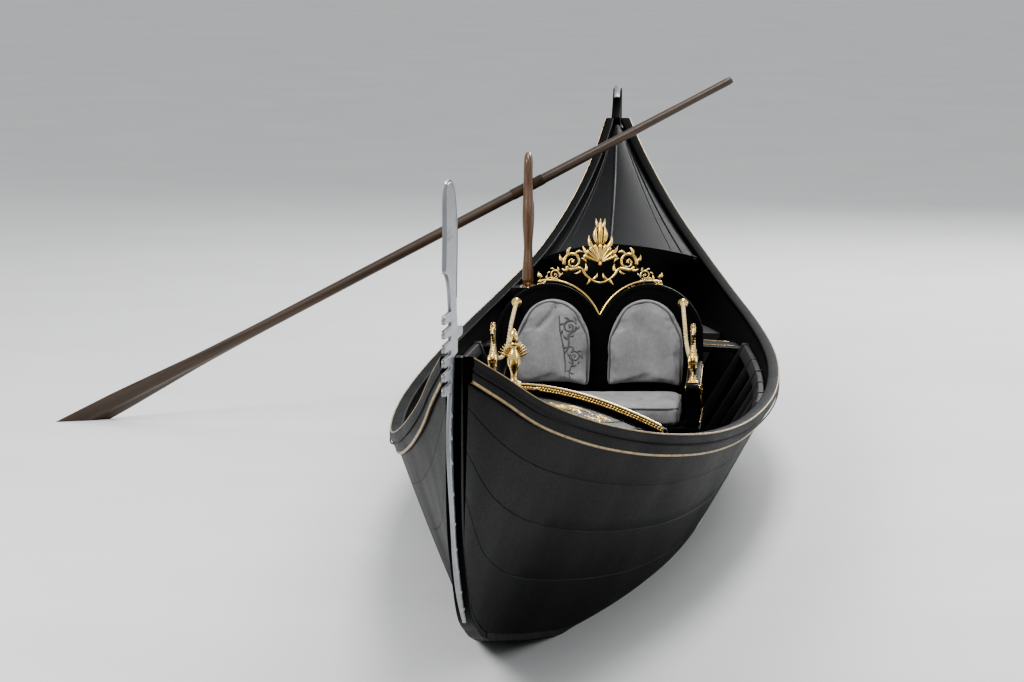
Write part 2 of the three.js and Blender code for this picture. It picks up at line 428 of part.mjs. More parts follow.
// ---------------------------------------------------------------- rowlock, its socket and the oar
const FX = X(FORCOLA_S);
const FY = -(breadth(FORCOLA_S, form(FORCOLA_S).zs, -1) - 100); // inboard of the gunwale cap
const FZ = form(FORCOLA_S).zs;
{
  // the socket: a block fixed inside the planking, with a slot for the rowlock's shank
  const z0 = FZ - 140, z1 = FZ + CAP_T;
  // its outboard face follows the cap's edge and the planking, which close in towards the stern
  const ends = [FX - 75, FX + 75].map((x) => {
    const s = (BOW_X - x) / 1000, top = -(breadth(s, form(s).zs, -1) - CAP_IN - 2.2);
    return [[FY + 48, z0 + 30], [FY + 48, z1], [top, z1], [top, FZ - 30], [-(inside(s, z0, -1) - 3.2), z0]];
  });
  add("forcola_socket", cut(skin(ends, (i, p) => new THREE.Vector3(i ? FX + 75 : FX - 75, p[0], p[1])), box(FX - 42, FX + 42, FY - 20, FY + 20, z0 - 50, z1 + 50)), "deck_black");
}
const forcola = new THREE.Group();
boat.add(forcola);
{
  // side silhouette: shank, waist, elbow, and the crook that holds the oar, open aft
  const P = [
    [-38, -110], [38, -110], [38, 26], [56, 40], [60, 90], [48, 150], [58, 215], [86, 270], [100, 325], [98, 352], [84, 366], [62, 372],
    [44, 386], [36, 410], [38, 440], [50, 462], [72, 474], [96, 484], [100, 505], [82, 535], [40, 552], [0, 548], [-24, 525],
    [-30, 484], [-26, 430], [-34, 380], [-46, 320], [-42, 250], [-40, 180], [-52, 110], [-56, 50], [-38, 26],
  ].map(([x, z]) => [x, z > 26 ? 26 + (z - 26) * 1.15 : z]);
  const shape = new THREE.Shape(P.map(([x, z]) => new THREE.Vector2(x, z)));
  const g = new THREE.ExtrudeGeometry(shape, { depth: 24, bevelEnabled: true, bevelThickness: 6, bevelSize: 6, bevelOffset: -6, bevelSegments: 1 });
  add("forcola", g.rotateX(Math.PI / 2).rotateZ(Math.PI).translate(FX, FY - 12, FZ), "walnut", forcola);
}
// the oar lies in the crook: handle up and inboard aft, blade out to starboard and dipped under the waterline
const oarDir = new THREE.Vector3(0.24, -0.86, -0.447).normalize(); // towards the blade
const NOTCH = new THREE.Vector3(FX - 88, FY, FZ + 472); // where the oar pivots
{
  const inboard = 1060, outboard = 3120;
  const ring = (x, w, h) => Array.from({ length: 10 }, (_, i) => { const a = (2 * Math.PI * i) / 10; return [w * Math.cos(a), h * Math.sin(a)]; });
  const rows = [ // distance from the notch, half width, half thickness
    [-inboard, 15, 15], [-inboard + 20, 18, 18], [-inboard + 160, 17, 17], [-500, 20, 20], [0, 23, 23], [700, 24, 23], [1400, 26, 20],
    [1700, 36, 15], [2100, 62, 12], [2700, 74, 9], [outboard - 30, 76, 7], [outboard, 66, 5],
  ];
  const side = new THREE.Vector3(0, 0, 1).cross(oarDir).normalize(), up = oarDir.clone().cross(side);
  // the blade's flat is turned 60 degrees from level, as in the stroke
  const g = skin(rows.map((r) => ring(...r)), (i, p) => {
    const turn = THREE.MathUtils.degToRad(60), a = side.clone().applyAxisAngle(oarDir, turn), b = up.clone().applyAxisAngle(oarDir, turn);
    return oarDir.clone().multiplyScalar(rows[i][0]).addScaledVector(a, p[0]).addScaledVector(b, p[1]).add(NOTCH);
  });
  add("oar", g, "oar_wood", forcola);
}

// ---------------------------------------------------------------- brass figures and cords
const HORSE = { s: 5.955, z: 384.6 }; // on the flat front end of each of the sofa's arms
for (const [side, name] of [[-1, "starboard"], [1, "port"]]) {
  const body = [[-46, 0], [46, 0], [46, 10], [20, 16], [30, 40], [52, 66], [56, 96], [42, 120], [20, 138], [14, 158], [24, 176], [46, 186], [62, 200], [58, 218], [36, 232], [6, 240], [-18, 228], [-26, 200], [-34, 168], [-52, 130], [-62, 100], [-48, 78], [-26, 60], [-14, 40], [-20, 16], [-46, 10]];
  const shape = new THREE.Shape(body.map(([a, b]) => new THREE.Vector2(a, b)));
  const g = new THREE.ExtrudeGeometry(shape, { depth: 14, bevelEnabled: true, bevelThickness: 5, bevelSize: 4, bevelOffset: -4, bevelSegments: 1 });
  add("seahorse_" + name, g.rotateX(Math.PI / 2).translate(X(HORSE.s), SOFA_Y + side * 408 + 7, HORSE.z), "brass");
}
{
  const s = 2.316, top = deckTop(FOREDECK_TO, foreCrown(FOREDECK_TO)), ridge = top[Math.floor(top.length / 2)];
  const P = [[0, 0], [26, 0], [26, 8], [12, 14], [9, 44], [18, 68], [20, 92], [10, 116], [7, 132], [14, 146], [15, 164], [8, 180], [0, 186]];
  const g = new THREE.LatheGeometry(P.map(([r, z]) => new THREE.Vector2(r, z)), 12).rotateX(Math.PI / 2);
  const wings = box(-6, 6, -52, 52, 104, 116);
  add("deck_figure", union([g, wings]).translate(X(s), ridge[0] - 29, ridge[1] + 34 + GAP), "brass");
}
// silk cords that hang between each figure and the sofa's back
const CORD_R = 9;
const CORD_END_Z = 650;
const CORD_IN = 62; // how far inboard of the figure the cord meets the back
for (const [side, name] of [[-1, "starboard"], [1, "port"]]) {
  const y = SOFA_Y + side * 412, x0 = X(HORSE.s) - 66, face = BACK_X - 2 - (CORD_END_Z - SOFA.seat) * RAKE;
  const pts = [[x0, 502], [x0 - 56, 476], [x0 - 134, 456], [x0 - 222, 458], [x0 - 300, 500], [x0 - 360, 578], [face + 13, CORD_END_Z]].map(([x, z]) => new THREE.Vector3(x, y - side * CORD_IN * THREE.MathUtils.smoothstep(x0 - x, 0, x0 - face - 13), z));
  const ring = new THREE.Shape(Array.from({ length: 8 }, (_, i) => new THREE.Vector2(CORD_R * Math.cos((i * Math.PI) / 4), CORD_R * Math.sin((i * Math.PI) / 4))));
  const tube = new THREE.ExtrudeGeometry(ring, { steps: 16, extrudePath: new THREE.CatmullRomCurve3(pts), bevelEnabled: false });
  add("cord_" + name, tube, "cord_silk");
}

export default boat;
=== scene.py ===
import json
import math

import bmesh
import bpy
import numpy as np
from mathutils import Matrix, Vector, noise


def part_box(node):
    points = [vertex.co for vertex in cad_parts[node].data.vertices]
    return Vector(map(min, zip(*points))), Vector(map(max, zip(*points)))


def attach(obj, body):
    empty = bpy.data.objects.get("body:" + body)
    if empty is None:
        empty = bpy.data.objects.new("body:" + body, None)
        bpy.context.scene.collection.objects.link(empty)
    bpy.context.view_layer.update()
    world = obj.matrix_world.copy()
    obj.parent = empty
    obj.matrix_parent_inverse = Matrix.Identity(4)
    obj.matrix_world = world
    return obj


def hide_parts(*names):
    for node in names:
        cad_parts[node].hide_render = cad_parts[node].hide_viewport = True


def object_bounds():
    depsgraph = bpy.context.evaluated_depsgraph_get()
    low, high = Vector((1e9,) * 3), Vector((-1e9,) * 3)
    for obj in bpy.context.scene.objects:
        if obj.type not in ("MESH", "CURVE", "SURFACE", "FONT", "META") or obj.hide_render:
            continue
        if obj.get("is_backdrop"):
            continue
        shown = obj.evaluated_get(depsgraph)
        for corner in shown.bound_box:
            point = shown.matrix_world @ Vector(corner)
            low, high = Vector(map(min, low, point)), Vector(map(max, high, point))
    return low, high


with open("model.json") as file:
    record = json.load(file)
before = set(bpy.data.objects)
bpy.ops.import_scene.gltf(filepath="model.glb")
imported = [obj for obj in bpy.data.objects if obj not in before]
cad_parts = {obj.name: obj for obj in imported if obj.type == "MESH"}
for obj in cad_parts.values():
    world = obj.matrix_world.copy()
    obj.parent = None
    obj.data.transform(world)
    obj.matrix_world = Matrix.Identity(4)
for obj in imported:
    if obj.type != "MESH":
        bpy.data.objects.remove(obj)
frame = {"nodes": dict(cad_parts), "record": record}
cad_box = [list(map(float, c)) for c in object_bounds()]
NODES = frame["nodes"]

# ------------------------------------------------------------------ sizes, as in the part's source
BOW_X = 5.43
SIDE_T, BOTTOM_T, GAP = 0.016, 0.022, 0.0006
STRAKE_H, STRAKE_T, CAP_IN, CAP_T, DECK_T = 0.055, 0.012, 0.034, 0.022, 0.016
FLOOR_Z, PLATFORM_Z, SOFA_Y, FORCOLA_S = -0.04, 0.4, 0.108, 8.1
FX, FY, FZ = -2.67, -0.29, 0.55
HULL = {
    "s": [0.1, 0.35, 0.7, 1.2, 1.8, 2.5, 3.4, 4.4, 5.4, 6.4, 7.3, 8.1, 8.8, 9.4, 9.9, 10.3, 10.6],
    "sheer": [1.1, 1.02, 0.91, 0.79, 0.68, 0.585, 0.5, 0.45, 0.43, 0.44, 0.48, 0.55, 0.65, 0.78, 0.92, 1.06, 1.175],
    "keel": [0.56, 0.36, 0.235, 0.125, 0.03, -0.05, -0.115, -0.158, -0.172, -0.155, -0.105, -0.025, 0.1, 0.27, 0.465, 0.665, 0.865],
    "stbd": [0.031, 0.08, 0.14, 0.22, 0.305, 0.39, 0.475, 0.54, 0.565, 0.545, 0.485, 0.39, 0.28, 0.19, 0.12, 0.07, 0.04],
    "port": [0.036, 0.105, 0.19, 0.315, 0.455, 0.6, 0.725, 0.815, 0.855, 0.835, 0.75, 0.625, 0.49, 0.35, 0.23, 0.13, 0.06],
    "chineS": [0.022, 0.022, 0.022, 0.03, 0.08, 0.15, 0.235, 0.305, 0.335, 0.32, 0.26, 0.17, 0.08, 0.032, 0.022, 0.022, 0.022],
    "chineP": [0.022, 0.022, 0.022, 0.035, 0.14, 0.275, 0.4, 0.48, 0.515, 0.505, 0.43, 0.305, 0.175, 0.075, 0.026, 0.022, 0.022],
}


def slopes(x, y):
    d = [(y[i + 1] - y[i]) / (x[i + 1] - x[i]) for i in range(len(x) - 1)]
    out = [d[0]]
    for i in range(1, len(x) - 1):
        a, b = x[i] - x[i - 1], x[i + 1] - x[i]
        out.append((b * d[i - 1] + a * d[i]) / (a + b))
    return out + [d[-1]]


SLOPE = {k: slopes(HULL["s"], v) for k, v in HULL.items()}


def curve(key, s):
    x, y, m = HULL["s"], HULL[key], SLOPE[key]
    i = 0
    while i < len(x) - 2 and s > x[i + 1]:
        i += 1
    h = x[i + 1] - x[i]
    t = (s - x[i]) / h
    t2, t3 = t * t, t * t * t
    return (2 * t3 - 3 * t2 + 1) * y[i] + (t3 - 2 * t2 + t) * h * m[i] + (3 * t2 - 2 * t3) * y[i + 1] + (t3 - t2) * h * m[i + 1]


def X(s):
    return BOW_X - s


def zs_(s):
    return curve("sheer", s)


def zk_(s):
    return curve("keel", s)


def top_b(s, side):
    return curve("port" if side > 0 else "stbd", s)


def chine(s, side):
    return curve("chineP" if side > 0 else "chineS", s)


def breadth(s, z, side):
    zs, zk, b, c = zs_(s), zk_(s), top_b(s, side), chine(s, side)
    z0 = zk + BOTTOM_T + GAP
    t = min(max((z - z0) / (zs - z0), 0), 1)
    return c + (b - c) * t + 0.01 * (zs - zk) * min(1, b / 0.3) * math.sin(math.pi * t)


def inside(s, z, side):
    return breadth(s, z, side) - SIDE_T


def span(a, b, n):
    return [a + (b - a) * i / (n - 1) for i in range(n)]


# ------------------------------------------------------------------ mesh makers: each gives (points, faces)
def closed_loft(rings):
    """A closed solid through rings with the same number of points, capped at both ends."""
    n, v, f = len(rings[0]), [p for r in rings for p in r], []
    for i in range(len(rings) - 1):
        for j in range(n):
            a, b = i * n + j, i * n + (j + 1) % n
            f.append((a, b, b + n, a + n))
    f.append(tuple(reversed(range(n))))
    f.append(tuple(range((len(rings) - 1) * n, len(rings) * n)))
    return v, f


def frames_along(path, up=None):
    """Tangent, side and up vectors along a path, turned as little as possible from point to point."""
    p = [Vector(q) for q in path]
    t = [(p[min(i + 1, len(p) - 1)] - p[max(i - 1, 0)]).normalized() for i in range(len(p))]
    u = Vector(up) if up is not None else (Vector((0, 0, 1)) if abs(t[0].z) < 0.9 else Vector((1, 0, 0)))
    out = []
    for i, d in enumerate(t):
        if i:
            u = t[i - 1].rotation_difference(d) @ u
        u = (u - d * u.dot(d)).normalized()
        out.append((p[i], d, d.cross(u).normalized(), u))
    return out


def tube(path, r, n=10, flat=1.0, up=None, round_ends=True):
    """A swept tube. r is one radius or one for each point; flat narrows it across its up vector."""
    fr = frames_along(path, up)
    rr = [r] * len(fr) if isinstance(r, (int, float)) else list(r)
    if round_ends:
        (p0, d0, a0, b0), (p1, d1, a1, b1) = fr[0], fr[-1]
        fr = [(p0 - d0 * rr[0] * k, d0, a0, b0) for k in (0.95, 0.7)] + fr + [(p1 + d1 * rr[-1] * k, d1, a1, b1) for k in (0.7, 0.95)]
        rr = [rr[0] * 0.3, rr[0] * 0.72] + rr + [rr[-1] * 0.72, rr[-1] * 0.3]
    rings = []
    for (p, d, a, b), q in zip(fr, rr):
        rings.append([p + a * q * math.cos(2 * math.pi * k / n) + b * q * flat * math.sin(2 * math.pi * k / n) for k in range(n)])
    return closed_loft(rings)


def strip(path, section, up, ups=None):
    """A moulding: a closed section of (across, up) points swept along a path with a fixed up vector."""
    p = [Vector(q) for q in path]
    rings = []
    for i in range(len(p)):
        d = (p[min(i + 1, len(p) - 1)] - p[max(i - 1, 0)]).normalized()
        u = Vector(ups[i] if ups else up)
        u = (u - d * u.dot(d)).normalized()
        a = d.cross(u)
        rings.append([p[i] + a * x + u * y for x, y in section])
    return closed_loft(rings)


def bevelled(v, f, r, segments=2, angle=30):
    bm = bmesh.new()
    vs = [bm.verts.new(p) for p in v]
    for q in f:
        try:
            bm.faces.new([vs[i] for i in q])
        except ValueError:
            pass
    bmesh.ops.remove_doubles(bm, verts=bm.verts, dist=1e-6)
    bmesh.ops.recalc_face_normals(bm, faces=bm.faces)
    bm.normal_update()
    e = [x for x in bm.edges if len(x.link_faces) == 2 and x.calc_face_angle(0) > math.radians(angle)]
    if r > 0:
        bmesh.ops.bevel(bm, geom=e, offset=r, segments=segments, profile=0.5, affect="EDGES", clamp_overlap=True)
    bmesh.ops.triangulate(bm, faces=[x for x in bm.faces if len(x.verts) > 4])
    bm.verts.index_update()
    out = [tuple(x.co) for x in bm.verts], [tuple(w.index for w in x.verts) for x in bm.faces]
    bm.free()
    return out


def block(x0, x1, y0, y1, z0, z1, r=0.003, segments=2):
    v = [(x, y, z) for x in (x0, x1) for y in (y0, y1) for z in (z0, z1)]
    f = [(0, 1, 3, 2), (4, 6, 7, 5), (0, 4, 5, 1), (2, 3, 7, 6), (0, 2, 6, 4), (1, 5, 7, 3)]
    return bevelled(v, f, min(r, 0.49 * min(x1 - x0, y1 - y0, z1 - z0)), segments)


def slab(outline, place, t0, t1, r=0.002, segments=2, angle=35):
    """A plate of an outline of 2-D points between two depths; place(u, v, depth) gives points in space."""
    n = len(outline)
    v = [place(a, b, t) for t in (t0, t1) for a, b in outline]
    f = [tuple(reversed(range(n))), tuple(range(n, 2 * n))] + [(i, (i + 1) % n, n + (i + 1) % n, n + i) for i in range(n)]
    return bevelled(v, f, r, segments, angle)


def lathe(profile, n=24, centre=(0, 0, 0), matrix=None):
    """A turned solid from (radius, height) points that start and end on the axis."""
    v, f = [], []
    m = matrix or Matrix.Identity(3)
    c = Vector(centre)
    inner = profile[1:-1]
    v.append(c + m @ Vector((0, 0, profile[0][1])))
    for r, z in inner:
        v += [c + m @ Vector((r * math.cos(2 * math.pi * k / n), r * math.sin(2 * math.pi * k / n), z)) for k in range(n)]
    v.append(c + m @ Vector((0, 0, profile[-1][1])))
    for k in range(n):
        f.append((0, 1 + (k + 1) % n, 1 + k))
        last = 1 + (len(inner) - 1) * n
        f.append((len(v) - 1, last + k, last + (k + 1) % n))
        for i in range(len(inner) - 1):
            a = 1 + i * n
            f.append((a + k, a + (k + 1) % n, a + n + (k + 1) % n, a + n + k))
    return v, f


def catmull(points, per=8, closed=False):
    """A smooth line through points."""
    p = [Vector(q) if len(q) == 3 else Vector((q[0], q[1], 0)) for q in points]
    n, out = len(p), []
    for i in range(n if closed else n - 1):
        a, b = p[i], p[(i + 1) % n]
        before = p[(i - 1) % n] if closed or i else a * 2 - b
        after = p[(i + 2) % n] if closed or i + 2 < n else b * 2 - a
        for k in range(per):
            t = k / per
            out.append(0.5 * ((2 * a) + (b - before) * t + (2 * before - 5 * a + 4 * b - after) * t * t + (3 * a - before - 3 * b + after) * t ** 3))
    if not closed:
        out.append(p[-1])
    return out


def flat2(points):
    return [(p[0], p[1]) for p in points]


class Piece:
    """Gathers shapes into one object, each with a material by its number."""

    def __init__(self):
        self.v, self.f, self.m = [], [], []

    def add(self, shape, material=0):
        base = len(self.v)
        self.v += [tuple(p) for p in shape[0]]
        self.f += [tuple(i + base for i in q) for q in shape[1]]
        self.m += [material] * len(shape[1])
        return self


def make(name, shape, body, mats, replaces=(), angle=38, flip=True):
    """Makes the object: smooth shading with hard edges kept, normals out, riding on its body."""
    if isinstance(shape, Piece):
        v, f, m = shape.v, shape.f, shape.m
    else:
        (v, f), m = shape, None
    me = bpy.data.meshes.new(name)
    me.from_pydata([tuple(p) for p in v], [], [tuple(q) for q in f])
    me.validate()
    mats = mats if isinstance(mats, (list, tuple)) else [mats]
    for x in mats:
        me.materials.append(x)
    if m and len(m) == len(me.polygons):
        me.polygons.foreach_set("material_index", m)
    if flip:
        bm = bmesh.new()
        bm.from_mesh(me)
        bmesh.ops.recalc_face_normals(bm, faces=bm.faces)
        bm.to_mesh(me)
        bm.free()
    me.shade_smooth()
    me.set_sharp_from_angle(angle=math.radians(angle))
    o = bpy.data.objects.new(name, me)
    bpy.context.scene.collection.objects.link(o)
    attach(o, body)
    if replaces:
        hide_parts(*replaces)
    return o


# ------------------------------------------------------------------ the camera
def look(cam, yaw, pitch):
    d = Vector((math.cos(yaw) * math.cos(pitch), math.sin(yaw) * math.cos(pitch), math.sin(pitch)))
    cam.rotation_mode = "QUATERNION"
    cam.rotation_quaternion = d.to_track_quat("-Z", "Y")


CAMERA = bpy.data.objects.new("camera", bpy.data.cameras.new("camera"))
bpy.context.scene.collection.objects.link(CAMERA)
CAMERA.location = (18.26, 1.0, 2.53)
CAMERA.data.sensor_width = 36
CAMERA.data.lens = 163
CAMERA.data.clip_start, CAMERA.data.clip_end = 0.5, 800
# a long lens, ahead of the bow and a little to port, aimed at the sofa
_u, _v = 647 - 512, 432 - 341
_yaw, _pitch, _f = math.radians(189.16), math.radians(-2.38), 1424.0
_d = Vector((math.cos(_yaw) * math.cos(_pitch), math.sin(_yaw) * math.cos(_pitch), math.sin(_pitch)))
_right = _d.cross(Vector((0, 0, 1))).normalized()
_up = _right.cross(_d)
_aim = (_d + _right * (_u / _f) - _up * (_v / _f)).normalized()
CAMERA.rotation_mode = "QUATERNION"
CAMERA.rotation_quaternion = _aim.to_track_quat("-Z", "Y")
bpy.context.scene.camera = CAMERA

# ------------------------------------------------------------------ materials, all procedural
def _nodes(name):
    m = bpy.data.materials.new(name)
    m.use_nodes = True
    t = m.node_tree
    return m, t, t.nodes["Principled BSDF"]


def _node(t, kind, **values):
    n = t.nodes.new(kind)
    for k, x in values.items():
        if k in n.inputs:
            n.inputs[k].default_value = x
        else:
            setattr(n, k, x)
    return n


def _coords(t, scale=(1, 1, 1), along=None):
    """Object coordinates times a scale, turned first so that X runs along a direction."""
    c, m = _node(t, "ShaderNodeTexCoord"), _node(t, "ShaderNodeMapping")
    if along is not None:
        m.vector_type = "TEXTURE"
        m.inputs["Rotation"].default_value = Vector((1, 0, 0)).rotation_difference(Vector(along)).to_euler()
        scale = tuple(1 / k for k in scale)
    m.inputs["Scale"].default_value = scale
    t.links.new(c.outputs["Object"], m.inputs["Vector"])
    return m.outputs["Vector"]


def _ramp(t, value, stops):
    r = _node(t, "ShaderNodeValToRGB")
    e = r.color_ramp.elements
    while len(e) < len(stops):
        e.new(0.5)
    for x, (pos, col) in zip(e, stops):
        x.position = pos
        x.color = (*col, 1) if len(col) == 3 else (col[0], col[0], col[0], 1)
    t.links.new(value, r.inputs["Fac"])
    return r.outputs["Color"]


def _noise(t, vec, scale, detail=4, rough=0.55, distortion=0.0):
    n = _node(t, "ShaderNodeTexNoise", Scale=scale, Detail=detail, Roughness=rough, Distortion=distortion)
    t.links.new(vec, n.inputs["Vector"])
    return n.outputs["Fac"]


def _mix(t, fac, a, b, blend="MIX"):
    n = _node(t, "ShaderNodeMix", data_type="RGBA", blend_type=blend)
    for sock, x in ((n.inputs[0], fac), (n.inputs[6], a), (n.inputs[7], b)):
        if hasattr(x, "is_linked") or hasattr(x, "links"):
            t.links.new(x, sock)
        else:
            sock.default_value = x if isinstance(x, (int, float)) else (*x, 1)[:4]
    return n.outputs[2]


def _math(t, op, a, b=0.5):
    n = _node(t, "ShaderNodeMath", operation=op)
    for i, x in enumerate((a, b)):
        if isinstance(x, (int, float)):
            n.inputs[i].default_value = x
        else:
            t.links.new(x, n.inputs[i])
    return n.outputs[0]


def _bump(t, b, height, strength=0.2, distance=0.001, after=None):
    n = _node(t, "ShaderNodeBump", Strength=strength, Distance=distance)
    t.links.new(height, n.inputs["Height"])
    if after is not None:
        t.links.new(after, n.inputs["Normal"])
    t.links.new(n.outputs["Normal"], b.inputs["Normal"])
    return n.outputs["Normal"]


def _edges(t, low=0.54, high=0.7):
    """Light where edges stand proud, for wear."""
    g = _node(t, "ShaderNodeNewGeometry")
    return _ramp(t, g.outputs["Pointiness"], [(low, (0,)), (high, (1,))])


def lacquer(name, colour, worn, rough=(0.1, 0.26), coat=0.6, wave=0.25, dust=0.25, shine=0.5):
    """Brushed gloss lacquer on wood: faint waves, brush marks, fine scratches, dust and worn edges."""
    m, t, b = _nodes(name)
    v = _coords(t)
    long = _coords(t, (0.7, 5, 9))
    big, fine = _noise(t, v, 2.2, 5), _noise(t, v, 46, 6, 0.7)
    brush = _noise(t, long, 26, 5, 0.62)
    base = _mix(t, _ramp(t, big, [(0.35, (0,)), (0.75, (1,))]), colour, tuple(min(1, c * 1.6 + 0.0008) for c in colour))
    base = _mix(t, _math(t, "MULTIPLY", _ramp(t, fine, [(0.58, (0,)), (0.72, (1,))]), dust), base, (0.09, 0.088, 0.083))
    scuff = _math(t, "MULTIPLY", _edges(t), _ramp(t, _noise(t, v, 13, 6, 0.7), [(0.45, (0,)), (0.62, (1,))]))
    base = _mix(t, scuff, base, worn)
    t.links.new(base, b.inputs["Base Color"])
    rg = _ramp(t, _math(t, "ADD", _math(t, "MULTIPLY", big, 0.5), _math(t, "MULTIPLY", brush, 0.5)), [(0.3, (rough[0],)), (0.7, (rough[1],))])
    t.links.new(_mix(t, scuff, rg, (0.55, 0.55, 0.55)), b.inputs["Roughness"])
    b.inputs["Specular IOR Level"].default_value = shine
    b.inputs["Coat Weight"].default_value = coat
    b.inputs["Coat Roughness"].default_value = 0.12
    n1 = _bump(t, b, big, wave, 0.012)
    _bump(t, b, _math(t, "ADD", brush, _math(t, "MULTIPLY", fine, 0.3)), 0.12, 0.0006, n1)
    return m


def timber(name, dark, light, grain=(1, 14, 14), rough=(0.42, 0.62), coat=0.0, dirt=0.3, bump=0.25, tone=0.35, along=None, bands="Y", ring=0.4):
    """Wood with its grain along X before scaling, pores, and dirt in the hollows."""
    m, t, b = _nodes(name)
    island = _node(t, "ShaderNodeNewGeometry").outputs["Random Per Island"]
    v = _coords(t, grain, along)
    shift = _node(t, "ShaderNodeVectorMath", operation="ADD")
    t.links.new(v, shift.inputs[0])
    t.links.new(_math(t, "MULTIPLY", island, 17.0), shift.inputs[1])
    v = shift.outputs[0]
    rings = _node(t, "ShaderNodeTexWave", Scale=1.7, Distortion=11.0, Detail=4.0)
    rings.inputs["Detail Scale"].default_value = 1.2
    rings.bands_direction = bands
    t.links.new(v, rings.inputs["Vector"])
    pores = _noise(t, v, 38, 6, 0.7)
    big = _noise(t, _coords(t), 3.1, 4)
    g = _math(t, "ADD", _math(t, "MULTIPLY", rings.outputs["Fac"], ring), _math(t, "MULTIPLY", pores, 1 - ring))
    base = _ramp(t, g, [(0.25, dark), (0.5, tuple((a + c) / 2 for a, c in zip(dark, light))), (0.78, light)])
    base = _mix(t, _math(t, "MULTIPLY", _ramp(t, big, [(0.42, (0,)), (0.7, (1,))]), dirt), base, tuple(c * 0.35 for c in dark))
    base = _mix(t, _math(t, "MULTIPLY", _edges(t), 0.5), base, tuple(min(1, c * 1.5 + 0.03) for c in light))
    base = _mix(t, _math(t, "MULTIPLY", island, tone), base, tuple(c * 0.45 for c in dark))
    t.links.new(base, b.inputs["Base Color"])
    t.links.new(_ramp(t, g, [(0.2, (rough[1],)), (0.8, (rough[0],))]), b.inputs["Roughness"])
    b.inputs["Coat Weight"].default_value = coat
    b.inputs["Coat Roughness"].default_value = 0.18
    _bump(t, b, g, bump, 0.0012)
    return m


def metal(name, colour, tarnish_and_shade_colour, rough=(0.18, 0.4), spots=(0.52, 0.7), grain=(1, 1, 1), bump=0.1):
    """Polished metal, darker in its hollows with tarnish and painted shade, with tarnish spots and hammer and polishing
    marks.
    """
    m, t, b = _nodes(name)
    v = _coords(t)
    big, fine = _noise(t, v, 24, 6, 0.65), _noise(t, _coords(t, grain), 210, 4, 0.6)
    g = _node(t, "ShaderNodeNewGeometry")
    # hollows take the tarnish colour: partly real tarnish, partly painted shade standing in for occlusion
    hollow = _ramp(t, g.outputs["Pointiness"], [(0.44, (1,)), (0.51, (0,))])
    tarnish_and_shade_mask = _math(t, "MAXIMUM", hollow, _math(t, "MULTIPLY", _ramp(t, big, [(spots[0], (0,)), (spots[1], (1,))]), 0.7))
    t.links.new(_mix(t, tarnish_and_shade_mask, colour, tarnish_and_shade_colour), b.inputs["Base Color"])
    t.links.new(_ramp(t, _math(t, "ADD", _math(t, "MULTIPLY", fine, 0.6), _math(t, "MULTIPLY", tarnish_and_shade_mask, 0.5)), [(0.2, (rough[0],)), (0.8, (rough[1],))]), b.inputs["Roughness"])
    b.inputs["Metallic"].default_value = 1.0
    _bump(t, b, _math(t, "ADD", fine, _math(t, "MULTIPLY", big, 1.4)), bump, 0.0008)
    return m


def cloth(name, colour, light, scale=900, sheen=0.6, fold=9.0, bump=0.35, rough=0.85):
    """Velvet or pile: nap brushed in patches, a fine weave, and sheen."""
    m, t, b = _nodes(name)
    v = _coords(t)
    nap, fibre = _noise(t, v, fold, 4, 0.5, 0.6), _noise(t, v, scale, 3, 0.7)
    mid = _noise(t, v, 70, 5, 0.7)
    mixed = _math(t, "ADD", _math(t, "MULTIPLY", nap, 0.55), _math(t, "ADD", _math(t, "MULTIPLY", fibre, 0.2), _math(t, "MULTIPLY", mid, 0.25)))
    t.links.new(_ramp(t, mixed, [(0.36, colour), (0.64, light)]), b.inputs["Base Color"])
    b.inputs["Roughness"].default_value = rough
    b.inputs["Sheen Weight"].default_value = sheen
    b.inputs["Sheen Roughness"].default_value = 0.4
    b.inputs["Specular IOR Level"].default_value = 0.25
    n1 = _bump(t, b, nap, 0.12, 0.004)
    _bump(t, b, _math(t, "ADD", fibre, _math(t, "MULTIPLY", mid, 0.8)), bump, 0.0008, n1)
    return m


BLACK = lacquer("hull_lacquer", (0.0015, 0.0015, 0.0018), (0.022, 0.02, 0.018), rough=(0.34, 0.5), coat=0.0, wave=0.035, dust=0.04, shine=0.02)
DECKBLACK = lacquer("deck_lacquer", (0.0028, 0.0028, 0.0033), (0.024, 0.021, 0.019), rough=(0.32, 0.48), coat=0.0, wave=0.05, dust=0.05, shine=0.035)
INNER = lacquer("inner_paint", (0.017, 0.0165, 0.017), (0.04, 0.036, 0.032), rough=(0.4, 0.58), coat=0.0, wave=0.05, dust=0.09, shine=0.14)
PITCH = lacquer("bottom_pitch", (0.011, 0.011, 0.0105), (0.03, 0.03, 0.022), rough=(0.45, 0.75), coat=0.0, wave=0.3, dust=0.16, shine=0.05)
BOARDS = timber("floor_oak", (0.05, 0.031, 0.018), (0.17, 0.106, 0.058), grain=(1.3, 22, 22), dirt=0.32, ring=0.15)
WALNUT = timber("walnut", (0.07, 0.032, 0.014), (0.24, 0.125, 0.058), grain=(30, 30, 1.7), rough=(0.22, 0.4), coat=0.35, dirt=0.15, bump=0.12, bands="X", ring=0.2)
